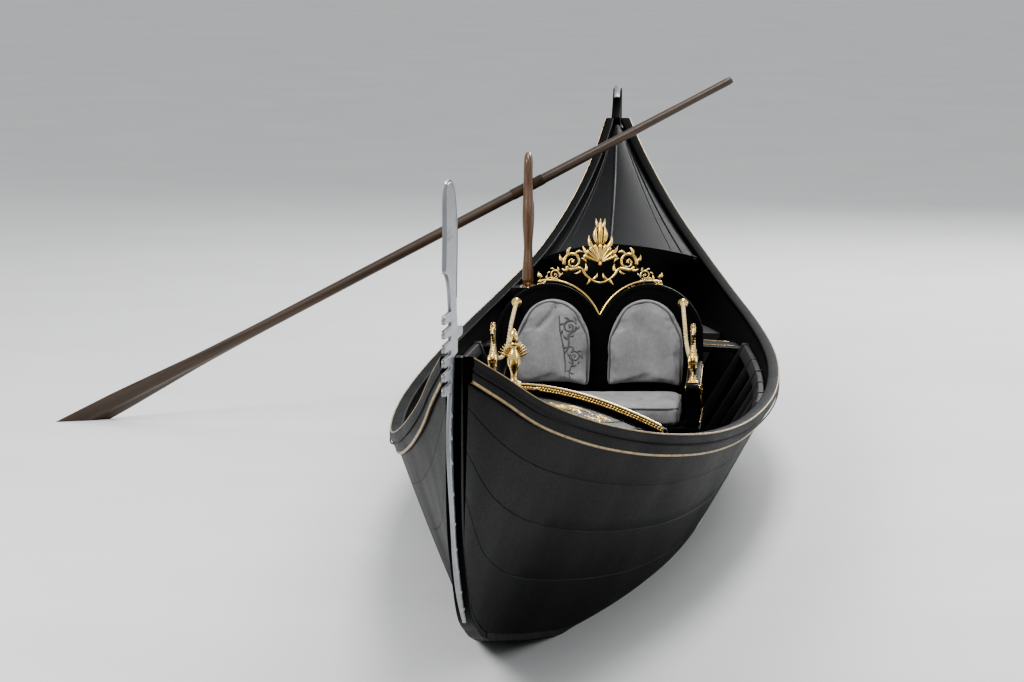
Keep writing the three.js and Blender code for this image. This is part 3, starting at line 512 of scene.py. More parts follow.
# the oar's beech is painted about three times darker than its varnished colour: painted shade, as if the whole oar
# stood in shadow
OAR_WOOD_PAINTED_SHADE = timber("oar_beech_painted_shade", (0.024, 0.014, 0.008), (0.078, 0.046, 0.025), grain=(0.55, 15, 15), rough=(0.3, 0.5), coat=0.2, dirt=0.35, bump=0.14, along=(0.24, -0.86, -0.447), ring=0.22)
GILT = metal("gilding", (0.82, 0.58, 0.22), (0.16, 0.085, 0.03), rough=(0.2, 0.42), spots=(0.56, 0.72), bump=0.3)
BRASS = metal("brass", (0.86, 0.63, 0.26), (0.22, 0.13, 0.045), rough=(0.14, 0.34), spots=(0.56, 0.75), bump=0.12)
STEEL = metal("bright_steel", (0.36, 0.37, 0.385), (0.2, 0.198, 0.195), rough=(0.3, 0.5), spots=(0.5, 0.82), grain=(1, 1, 0.1), bump=0.05)
BRASSLINE = metal("brass_strip", (0.36, 0.265, 0.12), (0.11, 0.07, 0.03), rough=(0.34, 0.55), spots=(0.42, 0.7), grain=(0.1, 1, 1), bump=0.08)
VELVET = cloth("grey_velvet", (0.15, 0.147, 0.15), (0.3, 0.295, 0.3), scale=1100, sheen=0.35, fold=7)
PIPING = cloth("piping", (0.06, 0.058, 0.06), (0.13, 0.125, 0.13), scale=900, sheen=0.3, fold=30)
PILE = cloth("carpet_pile", (0.02, 0.019, 0.021), (0.065, 0.062, 0.066), scale=520, sheen=0.25, fold=6, bump=0.9)
SILK = cloth("gold_silk", (0.42, 0.3, 0.12), (0.78, 0.62, 0.34), scale=700, sheen=0.7, fold=60, rough=0.5)
LOOK_OF = {p["node"]: p["material_slot"] for p in frame["record"]["subparts"]}
BY_SLOT = {"hull_black": BLACK, "deck_black": DECKBLACK, "inner_black": INNER, "floor_wood": BOARDS, "carpet": PILE, "velvet": VELVET, "gilt": GILT, "brass": BRASS, "steel": STEEL, "walnut": WALNUT, "oar_wood": OAR_WOOD_PAINTED_SHADE, "cord_silk": SILK}
for _name, _o in NODES.items():
    for _k in range(max(1, len(_o.material_slots))):
        if _k < len(_o.material_slots):
            _o.material_slots[_k].material = BY_SLOT[LOOK_OF[_name]]

# ------------------------------------------------------------------ silk cords, first of the pieces
RAKE = math.tan(math.radians(9))
BACK_X = X(6.46)
SEAT_Z = 0.205
_x0 = X(5.955) - 0.066
_end = 0.65
_face = BACK_X - 0.002 - (_end - SEAT_Z) * RAKE
CORD = [(_x0, 0.502), (_x0 - 0.056, 0.476), (_x0 - 0.134, 0.456), (_x0 - 0.222, 0.458), (_x0 - 0.3, 0.5), (_x0 - 0.36, 0.578), (_face + 0.013, _end)]


def cord_at(x, side):
    """How far out from the sofa's middle the cord is at x."""
    t = (_x0 - x) / (_x0 - _face - 0.013)
    return SOFA_Y + side * (0.412 - 0.062 * t * t * (3 - 2 * t))



for side, name in ((-1, "starboard"), (1, "port")):
    line = catmull([(x, cord_at(x, side), z) for x, z in CORD], 6)
    fine = catmull([(x, cord_at(x, side), z) for x, z in CORD], 60)
    length = sum((b - a).length for a, b in zip(line, line[1:]))
    run, rings = 0.0, []
    for i, (p, d, a, b) in enumerate(frames_along(fine, (0, 0, 1))):
        if i:
            run += (fine[i] - fine[i - 1]).length
        ring = []
        for k in range(18):
            th = 2 * math.pi * k / 18
            r = 0.00735 + 0.00165 * (2 * abs(math.cos(1.5 * (th - run * 2 * math.pi / 0.046))) ** 0.7 - 1)
            ring.append(p + a * r * math.cos(th) + b * r * math.sin(th))
        rings.append(ring)
    rope = make("cord_" + name + "_rope", closed_loft(rings), "hull", SILK, ["cord_" + name], angle=180)
    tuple(line[0])
    [tuple(q) for q in line]


# ------------------------------------------------------------------ carved ornament: scrolls and leaves in relief
def spiral(cx, cy, r0, turns, start, way=1, n=40, inner=0.16):
    out = []
    for i in range(n):
        t = i / (n - 1)
        r = r0 * (1 - t) ** 0.85 + r0 * inner * t
        a = start + way * turns * 2 * math.pi * t
        out.append((cx + r * math.cos(a), cy + r * math.sin(a)))
    return out


def taper(n, w0, w1):
    return [w0 + (w1 - w0) * i / (n - 1) for i in range(n)]


def leaf(x, y, ang, size, bend, w):
    pts, n = [], 9
    for i in range(n):
        t = i / (n - 1)
        a = ang + bend * t
        pts.append((x, y))
        x += size / n * math.cos(a)
        y += size / n * math.sin(a)
    return pts, [max(0.18, math.sin(math.pi * min(1, t * 0.9 + 0.12)) ** 0.8) * w for t in (i / (n - 1) for i in range(n))]


def acanthus(x, y, scale, way=1, turn=0.0):
    """One scroll with its stem, leaves and rosette: a list of (line, half widths) in the plane."""
    out = []
    stem = flat2(catmull([(-1.55, -0.25), (-1.2, -0.34), (-0.75, -0.28), (-0.3, -0.1), (0.15, -0.42), (0.55, -0.3)], 6))
    curl = spiral(0.22, 0.0, 0.46, 1.35, -0.75, 1, 44)
    out.append((stem[:-3], taper(len(stem) - 3, 0.05, 0.085)))
    out.append((curl, taper(len(curl), 0.085, 0.03)))
    for a, (px, py), s, b, w in ((2.3, (-1.1, -0.3), 0.5, -1.3, 0.075), (-2.2, (-0.95, -0.32), 0.42, 1.4, 0.065), (1.9, (-0.55, -0.2), 0.55, -1.5, 0.085), (-1.6, (-0.35, -0.2), 0.4, 1.5, 0.065), (-0.9, (0.2, -0.45), 0.42, 1.2, 0.07), (-0.1, (0.62, -0.2), 0.46, 1.3, 0.08), (0.9, (0.62, 0.2), 0.46, 1.3, 0.08), (1.9, (0.3, 0.44), 0.44, 1.3, 0.075), (2.9, (-0.1, 0.38), 0.4, 1.2, 0.065)):
        out.append(leaf(px, py, a, s, b, w))
    out.append(([(0.2, 0.0), (0.225, 0.0)], [0.1, 0.1]))
    c, s_ = math.cos(turn), math.sin(turn)
    return [([(x + scale * (c * p - s_ * q * way), y + scale * (s_ * p + c * q * way)) for p, q in line], [w * scale for w in ws]) for line, ws in out]


def relief(piece, lines, surface, material=0, n=8, height=0.75, sink=0.25):
    """Lays half-round lines on a surface; surface(u, v) gives a point and its normal."""
    for line, ws in lines:
        pts = [surface(u, v) for u, v in line]
        path = [p + nrm * (w * (0.5 - sink) * height) for (p, nrm), w in zip(pts, ws)]
        rings = []
        for i in range(len(path)):
            d = (path[min(i + 1, len(path) - 1)] - path[max(i - 1, 0)]).normalized()
            u = pts[i][1]
            u = (u - d * u.dot(d)).normalized()
            a = d.cross(u)
            rings.append([path[i] + a * ws[i] * math.cos(2 * math.pi * k / n) + u * ws[i] * height * math.sin(2 * math.pi * k / n) for k in range(n)])
        (p0, p1) = path[0] - (path[1] - path[0]).normalized() * ws[0] * 0.6, path[-1] + (path[-1] - path[-2]).normalized() * ws[-1] * 0.6
        r0 = [p0 + (q - path[0]) * 0.45 for q in rings[0]]
        r1 = [p1 + (q - path[-1]) * 0.45 for q in rings[-1]]
        piece.add(closed_loft([r0] + rings + [r1]), material)
    return piece


# ------------------------------------------------------------------ planking
FINE = sorted(set([round(0.1 + 10.5 * i / 180, 5) for i in range(181)]))
SEAMS = (0.27, 0.52, 0.76)
for side, name in ((-1, "starboard"), (1, "port")):
    rings = []
    for s in FINE:
        z0, zs = zk_(s) + BOTTOM_T + GAP, zs_(s)
        hs = []
        for i in range(13):
            hs.append((z0 + (zs - z0) * i / 12, 0.0))
        for k in SEAMS:
            z = z0 + (zs - z0) * k
            hs = [h for h in hs if abs(h[0] - z) > 0.006] + [(z - 0.0022, 0.0), (z, 0.0016), (z + 0.0022, 0.0)]
        hs.sort()
        # every ring needs the same number of points
        while len(hs) < 22:
            gaps = [(hs[i + 1][0] - hs[i][0], i) for i in range(len(hs) - 1)]
            g, i = max(gaps)
            hs.insert(i + 1, ((hs[i][0] + hs[i + 1][0]) / 2, 0.0))
        out = [(breadth(s, z, side) - d, z) for z, d in hs]
        inn = [(breadth(s, z, side) - SIDE_T + d * 0.7, z) for z, d in reversed(hs)]
        rings.append([(X(s), side * y, z) for y, z in out + inn])
    make("side_" + name, closed_loft(rings), "hull", BLACK, [f"side_{name}_{p}" for p in ("bow", "forward", "aft", "stern")], angle=25)


def rounded(poly, radii, seg=4):
    """Rounds the corners of a closed outline."""
    out, n = [], len(poly)
    for i in range(n):
        p, a, b = Vector(poly[i]), Vector(poly[i - 1]), Vector(poly[(i + 1) % n])
        r = radii[i] if isinstance(radii, (list, tuple)) else radii
        if r <= 0:
            out.append(tuple(p))
            continue
        da, db = (a - p).normalized(), (b - p).normalized()
        ang = da.angle(db)
        cut = min(r / math.tan(ang / 2), 0.48 * (a - p).length, 0.48 * (b - p).length)
        c0, c1 = p + da * cut, p + db * cut
        for k in range(seg + 1):
            t = k / seg
            out.append(tuple(c0 * (1 - t) ** 2 + p * 2 * t * (1 - t) + c1 * t * t))
    return out


GUN = sorted(set([0.1055] + [s for s in FINE if 0.11 < s < 10.595] + [10.6]))
for side, name in ((-1, "starboard"), (1, "port")):
    body, strip_rings, bead_rings, top_rings = [], [], [], []
    for s in GUN:
        zs = zs_(s)
        lo, hi = breadth(s, zs - STRAKE_H, side), breadth(s, zs, side)
        inner = hi - min(CAP_IN, hi - 0.009)
        k = min(1.0, hi / 0.12)
        poly = [(lo + GAP, zs - STRAKE_H + 0.004), (lo + STRAKE_T - 0.002, zs - STRAKE_H + 0.004), (hi + STRAKE_T - 0.003, zs - 0.012), (hi + STRAKE_T + 0.002, zs - 0.003), (hi + STRAKE_T + 0.002, zs + CAP_T),
                (inner, zs + CAP_T), (inner, zs + GAP), (hi + GAP, zs + GAP)]
        ring = rounded(poly, [0, 0.002, 0.003, 0.003, 0.0095, 0.007, 0.001, 0], 4)
        body.append([(X(s), side * y, z) for y, z in ring])
        strip_rings.append([(X(s), side * (lo + STRAKE_T - 0.003 + 0.0048 * math.sin(a)), zs - STRAKE_H + 0.0056 - 0.0054 * math.cos(a)) for a in [math.pi * 2 * j / 10 for j in range(10)]])
        top_rings.append([(X(s), side * (hi + STRAKE_T - 0.0012 + 0.0031 * math.sin(a)), zs + CAP_T - 0.0032 - 0.0031 * math.cos(a)) for a in [math.pi * 2 * j / 8 for j in range(8)]])
        bead_rings.append([(X(s), side * (hi + STRAKE_T - 0.0006 + 0.0026 * math.sin(a)), zs - 0.0195 - 0.0026 * math.cos(a)) for a in [math.pi * 2 * j / 8 for j in range(8)]])
    p = Piece().add(closed_loft(body), 0).add(closed_loft(bead_rings), 0).add(closed_loft(strip_rings), 1).add(closed_loft(top_rings), 1)
    make("gunwale_" + name + "_moulding", p, "hull", [BLACK, BRASSLINE], ["gunwale_" + name], angle=32)

# bottom: planked across, with a groove at each seam
stations = []
s = 1.0
while s < 9.85:
    stations.append((s, 0.0))
    nxt = min(s + 0.19, 9.85)
    for k in range(1, 4):
        stations.append((s + (nxt - s) * k / 4, 0.0))
    if nxt < 9.84:
        stations += [(nxt - 0.0022, 0.0), (nxt, 0.0018)]
        s = nxt + 0.0022
    else:
        stations.append((9.85, 0.0))
        break
rings = []
for s, d in stations:
    zk, a, b = zk_(s), chine(s, -1), chine(s, 1)
    ys = [-a + 0.004] + [(-a + (a + b) * i / 10) for i in range(1, 10)] + [b - 0.004]
    low = [(y, zk + d) for y in ys]
    ring = [(-a, zk + 0.004 + d)] + low + [(b, zk + 0.004 + d), (b, zk + BOTTOM_T)] + [(y, zk + BOTTOM_T - d) for y in reversed(ys)] + [(-a, zk + BOTTOM_T)]
    rings.append([(X(s), y, z) for y, z in ring])
make("bottom_boards", closed_loft(rings), "hull", PITCH, ["bottom_bow", "bottom_middle", "bottom_aft", "bottom_stern"], angle=25)


def plate_xz(outline, y0, y1, r=0.003, seg=2, angle=35):
    return slab([(X(s), z) for s, z in outline], lambda a, b, t: (a, t, b), y0, y1, r, seg, angle)


# posts
STEM = [(0.1, 0.56), (0.055, 0.612), (0.02, 0.685), (0.002, 0.765), (0, 0.85), (0.006, 0.95), (0.02, 1.04), (0.042, 1.125)]
run = span(0.1, 0.998, 30)
outline = [(s, zk_(s)) for s in reversed(run)] + flat2(catmull(STEM, 5))[1:] + [(0.0975, 1.125), (0.0975, zk_(0.1) + BOTTOM_T)] + [(s, zk_(s) + BOTTOM_T) for s in run[1:]]
make("stem", plate_xz(outline, -0.022, 0.022, 0.0045, 3), "hull", BLACK, ["stem_post"])
TAIL = [(10.6, 0.865), (10.69, 0.95), (10.765, 1.045), (10.82, 1.15), (10.85, 1.25), (10.86, 1.33)]
run = span(9.852, 10.6, 26)
tail = flat2(catmull([(10.3, 0.665)] + TAIL, 5))[5:]
outline = [(s, zk_(s)) for s in run] + tail[1:] + [(10.846, 1.336), (10.83, 1.332)] + flat2(catmull([(10.83, 1.333), (10.76, 1.28), (10.68, 1.232), (10.6025, 1.197)], 4))[1:] + [(10.6025, zk_(10.6) + BOTTOM_T)] + [(s, zk_(s) + BOTTOM_T) for s in reversed(run[:-1])]
make("sternpost", plate_xz(outline, -0.022, 0.022, 0.0045, 3), "hull", BLACK, ["stern_post"])


# ------------------------------------------------------------------ decks
def deck_top(s, crown, n=14):
    zs, bs, bp = zs_(s), top_b(s, -1), top_b(s, 1)
    ridge = (bp - bs) / 4
    a, b = -(bs - CAP_IN - 0.002), bp - CAP_IN - 0.002
    e = [inside(s, zs - GAP - DECK_T, k) - 0.004 for k in (-1, 1)]
    up = lambda t: crown * (1 - (1 - t) ** 1.7)
    left = [(a + (ridge - a) * i / n, up(i / n)) for i in range(n)]
    right = [(b + (ridge - b) * i / n, up(i / n)) for i in range(n)][::-1]
    pts = [(-e[0], 0), (max(a, -e[0] + 0.003), 0)] + left[1:] + [(ridge, crown)] + right[:-1] + [(min(b, e[1] - 0.003), 0), (e[1], 0)]
    return [(y, zs - GAP + z) for y, z in pts]


def fore_crown(s):
    return (20 + 125 * (max(s - 0.3, 0) / 2) ** 0.9) / 1000


def aft_crown(s):
    return (60 - 45 * ((s - 8.75) / 1.79)) / 1000


def on_deck(crown):
    """A deck's surface: u is the station, v from -1 at the starboard edge to 1 at the port edge."""
    def height(s, v):
        bs, bp = top_b(s, -1), top_b(s, 1)
        ridge = (bp - bs) / 4
        edge = -(bs - CAP_IN - 0.002) if v < 0 else bp - CAP_IN - 0.002
        t = 1 - abs(v)
        return Vector((X(s), edge + (ridge - edge) * t, zs_(s) - GAP + crown(s) * (1 - (1 - t) ** 1.7)))

    def surface(s, v):
        p = height(s, v)
        a, b = height(s + 0.004, v) - p, height(s, v + 0.01 if v < 0.98 else v - 0.01) - p
        n = a.cross(b).normalized()
        return p, n if n.z > 0 else -n
    return surface


for name, lo, hi, crown in (("foredeck", 0.3, 2.3, fore_crown), ("aft_deck", 8.75, 10.54, aft_crown)):
    rings = []
    for s in span(lo, hi, 64):
        t = deck_top(s, crown(s))
        rings.append([(X(s), y, z) for y, z in t + [(y, z - DECK_T) for y, z in reversed(t)]])
    p = Piece().add(closed_loft(rings))
    top = on_deck(crown)
    a, b = (0.42, 2.27) if name == "foredeck" else (8.8, 10.35)
    edge_lines = []
    for v in (-0.84, 0.84, -0.72, 0.72):
        ss = span(a, b, 60)
        edge_lines.append(([(s, v) for s in ss], [0.0042 if abs(v) > 0.8 else 0.0022] * 60))
    edge_lines.append(([(s, 0.0) for s in span(a, b, 60)], [0.0085] * 60))
    relief(p, edge_lines, top, 0, 8, 0.8)
    # carved panels towards the cockpit
    if name == "foredeck":
        for side in (-1, 1):
            w = (top_b(1.95, side) - 0.04)
            for cs, cv, sc, way, turn in ((1.98, 0.38, 0.115, 1, 0.0), (2.08, 0.64, 0.052, -1, 0.0), (1.91, 0.645, 0.048, 1, 0.0), (1.72, 0.43, 0.085, -1, 0.0), (1.47, 0.43, 0.062, 1, 0.0)):
                lines = acanthus(0, 0, sc, way, turn + math.pi)
                relief(p, [([(cs + u, side * (cv + v / w)) for u, v in line], [x * 0.8 for x in ws]) for line, ws in lines], top, 2, 6, 0.7)
            relief(p, [([(2.245, side * v) for v in span(0.12, 0.83, 14)], [0.003] * 14), ([(1.36, side * v) for v in span(0.1, 0.83, 14)], [0.003] * 14)], top, 0, 6, 0.8)
    make(name + "_planked", p, "hull", [DECKBLACK, BRASS, GILT], [name], angle=32)

# breasthook
rings = []
for s in span(0.106, 0.298, 12):
    zs = zs_(s)
    y = [top_b(s, k) - min(CAP_IN, top_b(s, k) - 0.009) - 0.001 for k in (-1, 1)]
    poly = [(-y[0], zs - 0.012), (y[1], zs - 0.012), (y[1], zs + CAP_T), (0, zs + CAP_T + 0.006), (-y[0], zs + CAP_T)]
    rings.append([(X(s), a, b) for a, b in rounded(poly, [0.001, 0.001, 0.003, 0.004, 0.003], 3)])
make("breasthook_block", closed_loft(rings), "hull", DECKBLACK, ["breasthook"])

# the carved board at the foredeck's after edge
s0, s1 = 2.301, 2.332
top = deck_top(2.3, fore_crown(2.3), 20)[1:-1]
up = [(y, z + 0.034) for y, z in top]
lo_ = [(y, z - 0.046) for y, z in reversed(top)]
p = Piece().add(slab(up + lo_, lambda a, b, t: (t, a, b), X(s1), X(s0), 0.005, 3, 50))
ys = [q[0] for q in top]


def board_face(x, nx, z_at):
    return lambda u, v: (Vector((x, u, z_at(u) + v)), Vector((nx, 0, 0)))


z_mid = lambda y: float(np.interp(y, ys, [q[1] for q in top]))
half = (min(ys), max(ys))
for x, nx in ((X(s1) + 0.0004, -1), (X(s0) - 0.0004, 1)):
    face = board_face(x, nx, z_mid)
    vlo, vhi = (-0.04, 0.028) if nx < 0 else (0.006, 0.029)
    n_ = 60
    yy = span(half[0] + 0.02, half[1] - 0.02, n_)
    if nx < 0:
        relief(p, [([(y, vhi) for y in yy], [0.0022] * n_), ([(y, vlo) for y in yy], [0.0022] * n_)], face, 1, 6, 0.8)
    else:  # running leaves, out from a rosette in the middle
        c_ = (half[0] + half[1]) / 2
        relief(p, [([(c_ - 0.0085 + 0.017 * t, 0.0245) for t in span(0, 1, 5)], [0.004, 0.0058, 0.0068, 0.0058, 0.004])], face, 1, 8, 0.8)
        for y in span(half[0] + 0.022, half[1] - 0.022, 84):
            out_ = 0 if y > (half[0] + half[1]) / 2 else math.pi
            for k in (-1, 1):
                relief(p, [leaf(y, 0.0245 + k * 0.0008, out_ + k * 0.8, 0.0135, -k * 1.1, 0.0034)], face, 1, 6, 0.7)
    if nx < 0:
        mid = (half[0] + half[1]) / 2
        for side in (-1, 1):
            for c in (0.1, 0.24):
                reach = (half[1] - mid) * 1.0
                relief(p, acanthus(mid + side * c, -0.006, 0.05, side, 0 if side > 0 else math.pi), face, 1, 6, 0.6)
rim = [(y, z + 0.034) for y, z in top]
p.add(tube([((X(s0) + X(s1)) / 2, y, z + 0.001) for y, z in rim[1:-1]], 0.0062, 8, 0.8), 1)
make("foredeck_coaming_carved", p, "hull", [DECKBLACK, GILT], ["foredeck_coaming"], angle=40)

# ------------------------------------------------------------------ frames: ribs with a straight inner edge, and their stringer
RIBS = [2.6, 2.9, 3.2, 3.55, 3.9, 4.25, 4.6, 4.95, 5.3, 5.65, 6.0, 6.35, 6.7, 7.1]
for side, name in ((-1, "starboard"), (1, "port")):
    for place, lo, hi in (("forward", 2.55, 5.12), ("aft", 5.13, 7.15)):
        p = Piece()
        for r in (s for s in RIBS if lo < s < hi):
            z0, z1 = zk_(r) + BOTTOM_T + 0.004, zs_(r) - 0.046
            rows = []
            outs = [inside(r, z, side) - 0.0035 for z in span(z0, z1, 9)]
            foot, head = outs[0] - 0.048, outs[-1] - 0.03
            for k, z in enumerate(span(z0, z1, 9)):
                inn = foot + (head - foot) * k / 8
                rows.append([(X(r) - 0.012, side * outs[k], z), (X(r) + 0.012, side * outs[k], z), (X(r) + 0.012, side * inn, z), (X(r) - 0.012, side * inn, z)])
            p.add(bevelled(*closed_loft(rows), 0.0035, 2, 50))
        ring = []
        for s in span(lo, hi, 40):
            z = zs_(s) - 0.072
            y0, y1 = inside(s, z + 0.022, side) - 0.006, inside(s, z - 0.022, side) - 0.006
            poly = [(y1, z - 0.022), (y0, z + 0.022), (y0 - 0.022, z + 0.022), (y1 - 0.022, z - 0.022)]
            ring.append([(X(s), side * a, b) for a, b in rounded(poly, [0.001, 0.001, 0.005, 0.005], 3)])
        p.add(closed_loft(ring))
        make(f"ribs_{name}_{place}", p, "hull", INNER, [f"frames_{name}_{place}"], angle=40)

p = Piece()
for r in (s for s in RIBS if 3.2 <= s <= 7.1):
    z0 = zk_(r) + BOTTOM_T + 0.002
    y = [inside(r, z0 + 0.008, k) - 0.076 for k in (-1, 1)]
    x = X(r + (0.012 if r < 4 else 0))
    p.add(block(x - 0.012, x + 0.012, -y[0], y[1], z0 + 0.002, FLOOR_Z - 0.019, 0.003))
rows = []
for s in span(3.21, 7.1, 40):
    z = zk_(s) + BOTTOM_T + 0.002
    rows.append([(X(s), a, b) for a, b in rounded([(0.02, z), (0.1, z), (0.1, z + 0.012), (0.02, z + 0.012)], 0.003, 2)])
p.add(closed_loft(rows))
make("floor_beams", p, "hull", INNER, ["floor_timbers"])


# ------------------------------------------------------------------ boards laid fore and aft, each its own plank, with nails
def lanes(edge, s0, s1, z0, z1, width, gap=0.003, steps=150, r=0.0025, nails=(), offset=0.0):
    p = Piece()
    reach = max(max(edge(s, 1) for s in span(s0, s1, 20)), max(edge(s, -1) for s in span(s0, s1, 20)))
    k0 = -int(reach / width) - 2
    for k in range(k0, -k0 + 1):
        ya, yb = offset + k * width + gap / 2, offset + (k + 1) * width - gap / 2
        rows = []
        for s in span(s0, s1, steps):
            a, b = max(ya, -edge(s, -1)), min(yb, edge(s, 1))
            if b - a > 0.0045:
                crown = 0.0006 * math.sin(k * 2.3)
                rows.append([(X(s), y, z) for y, z in rounded([(a, z0), (b, z0), (b, z1 + crown - 0.0006), (a, z1 + crown - 0.0006)], [0.0008, 0.0008, min(r, (b - a) * 0.35), min(r, (b - a) * 0.35)], 3)])
            elif rows:
                break
        if len(rows) > 3:
            p.add(closed_loft(rows), 0)
            for n in nails:
                a, b = max(ya, -edge(n, -1)), min(yb, edge(n, 1))
                if b - a > 0.05:
                    for y in (a + 0.018, b - 0.018):
                        p.add(lathe([(0, 0.0002), (0.0042, 0.0002), (0.004, 0.0012), (0, 0.0019)], 8, (X(n), y, z1 - 0.0004)), 1)
    return p


IRON_NAIL = metal("nail_iron", (0.16, 0.15, 0.145), (0.05, 0.03, 0.02), rough=(0.4, 0.65), bump=0.3)
make("floor_planks", lanes(lambda s, k: inside(s, FLOOR_Z - 0.018, k) - 0.0705, 3.2025, 7.0995, FLOOR_Z - 0.018, FLOOR_Z, 0.118, nails=[s for s in RIBS if 3.3 < s < 7.05], offset=0.04), "hull", [BOARDS, IRON_NAIL], ["floorboards"], angle=40)
make("fore_step_planks", lanes(lambda s, k: inside(s, 0.062, k) - 0.0625, 2.3605, 3.1895, 0.062, 0.08, 0.106, steps=60, nails=[2.42, 2.9, 3.14], offset=0.02), "hull", [BOARDS, IRON_NAIL], ["fore_step"], angle=40)
make("rowing_platform_planks", lanes(lambda s, k: inside(s, PLATFORM_Z - 0.012, k) - 0.008, 7.7505, 8.7465, PLATFORM_Z - 0.024, PLATFORM_Z, 0.112, steps=70, nails=[7.82, 8.25, 8.68], offset=0.03), "hull", [INNER, IRON_NAIL], ["rowing_platform"], angle=40)

# the wedge that braces a foot on the platform
wl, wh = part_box("foot_wedge")
p = Piece().add(slab([(wl[0], wl[2]), (wh[0], wl[2]), (wh[0], wh[2]), (wl[0], wl[2] + 0.02)], lambda a, b, t: (a, t, b), wl[1], wh[1], 0.004, 3))
for k in range(5):  # worn treads across it
    x = wl[0] + 0.018 + k * 0.021
    z = wl[2] + 0.02 + 0.05 * (x - wl[0]) / 0.12
    p.add(tube([(x, wl[1] + 0.012, z + 0.0002), (x, wh[1] - 0.012, z + 0.0002)], 0.0028, 8, 0.6))
make("foot_wedge_block", p, "hull", INNER, ["foot_wedge"])

# thwart ahead of the rowing platform, rounded along both edges, with a brass strip let into its top
rows = []
for s in span(7.16, 7.4, 9):
    y = [inside(s, 0.375, k) - 0.005 for k in (-1, 1)]
    e = 0.006 * (1 if s in (7.16, 7.4) else 0)
    ys = span(-y[0], y[1], 15)
    zt = [0.401 + 0.016 * (1 - ((q - ys[0]) / (ys[-1] - ys[0]) * 2 - 1) ** 2) - e for q in ys]
    rows.append([(X(s), q, z) for q, z in zip(ys, zt)] + [(X(s), q, 0.375 + e) for q in reversed(ys)])
p = Piece().add(closed_loft(rows))
for s in (7.19, 7.37):
    y = [inside(s, 0.375, k) - 0.03 for k in (-1, 1)]
    ys = span(-y[0], y[1], 24)
    full = [inside(s, 0.375, k) - 0.005 for k in (-1, 1)]
    p.add(strip([(X(s), q, 0.4015 + 0.016 * (1 - ((q + full[0]) / (full[0] + full[1]) * 2 - 1) ** 2)) for q in ys], [(0.003, -0.0015), (0.003, 0.0008), (0, 0.0018), (-0.003, 0.0008), (-0.003, -0.0015)], (0, 0, 1)), 1)
make("aft_thwart_arched", p, "hull", [DECKBLACK, BRASS], ["aft_thwart"], angle=50)


# ------------------------------------------------------------------ bulkheads: boarded, with a casing round each doorway
def boarded(name, node, s, x0, x1, z0, z1, door, dark, casing_x, way, over=None):
    """Upright boards with a vee between them, cut round the doorway; over(y) is the height that a second row above them goes up to."""
    p = Piece()
    n = 12
    lim = lambda z, k: inside(s, z, k) - 0.0095
    y_lo, y_hi = -lim(z1, -1), lim(z1, 1)
    w = (y_hi - y_lo) / n
    for i in range(n):
        a, b = y_lo + i * w, y_lo + (i + 1) * w
        cuts = [(z0, z1)]
        spans = [(a, b, z0, z1)]
        out = []
        for (p0, p1, q0, q1) in spans:
            if p1 <= door[0] or p0 >= door[1]:
                out.append((p0, p1, q0, q1))
                continue
            if p0 < door[0]:
                out.append((p0, door[0], q0, q1))
            if p1 > door[1]:
                out.append((door[1], p1, q0, q1))
            m0, m1 = max(p0, door[0]), min(p1, door[1])
            out += [(m0, m1, q0, door[2]), (m0, m1, door[3], q1)]
        for (p0, p1, q0, q1) in out:
            if p1 - p0 < 0.008 or q1 - q0 < 0.006:
                continue
            # the hull's side trims the outer boards
            zz = span(q0, q1, 36)
            L = [max(p0 + 0.0007, -lim(z, -1)) for z in zz]
            R_ = [min(p1 - 0.0007, lim(z, 1)) for z in zz]
            keep = [k for k in range(36) if R_[k] - L[k] > 0.003]
            if len(keep) < 3 or max(R_[k] - L[k] for k in keep) < 0.006:
                continue
            poly = [(L[k], zz[k]) for k in keep] + [(R_[k], zz[k]) for k in reversed(keep)]
            p.add(slab(poly, lambda u, v, t: (t, u, v), x0, x1, 0.0022, 1, 40))
    if over:
        for i in range(n):
            a, b = y_lo + i * w + 0.0007, y_lo + (i + 1) * w - 0.0007
            ys = [q for q in span(a, b, 9) if over(q) > z1 + 0.004]
            if len(ys) > 2:
                p.add(slab([(ys[0], z1 + 0.0006), (ys[-1], z1 + 0.0006)] + [(q, over(q)) for q in reversed(ys)], lambda u, v, t: (t, u, v), x0, x1, 0.002, 1, 40))
        p.add(block(min(casing_x, casing_x + way * 0.008), max(casing_x, casing_x + way * 0.008), y_lo + 0.004, y_hi - 0.004, z1 - 0.016, z1 + 0.012, 0.003, 2), 0)
    m = 0.026
    d = [door[0] - 0.001, door[1] + 0.001, door[2] - 0.001, door[3] + 0.001]
    for q in ((d[0] - m, d[0], d[2] - m, d[3] + m), (d[1], d[1] + m, d[2] - m, d[3] + m), (d[0], d[1], d[3], d[3] + m), (d[0], d[1], d[2] - m, d[2])):
        if q[2] < z0 + 0.002:
            q = (q[0], q[1], z0 + 0.002, q[3])
        if q[3] > z1 - 0.001:
            q = (q[0], q[1], q[2], z1 - 0.001)
        if q[3] - q[2] > 0.004:
            p.add(block(min(casing_x, casing_x + way * 0.009), max(casing_x, casing_x + way * 0.009), *q, 0.003, 2), 0)
    return make(name, p, "hull", dark, [node], angle=35)


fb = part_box("bow_bulkhead")
_under = [(y, z - DECK_T - 0.0035) for y, z in deck_top(2.285, fore_crown(2.285), 24)[1:-1]]
boarded("bow_bulkhead_boards", "bow_bulkhead", 2.285, fb[0][0], fb[1][0], fb[0][2], fb[1][2], (-0.154, 0.194, 0.146, 0.484), INNER, fb[0][0] + 0.001, -1, lambda y: float(np.interp(y, [q[0] for q in _under], [q[1] for q in _under])))
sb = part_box("stern_bulkhead")
boarded("stern_bulkhead_boards", "stern_bulkhead", 7.7485, sb[0][0], sb[1][0], sb[0][2], sb[1][2], (-0.114, 0.214, 0.046, 0.334), INNER, sb[0][0] + 0.001, -1)


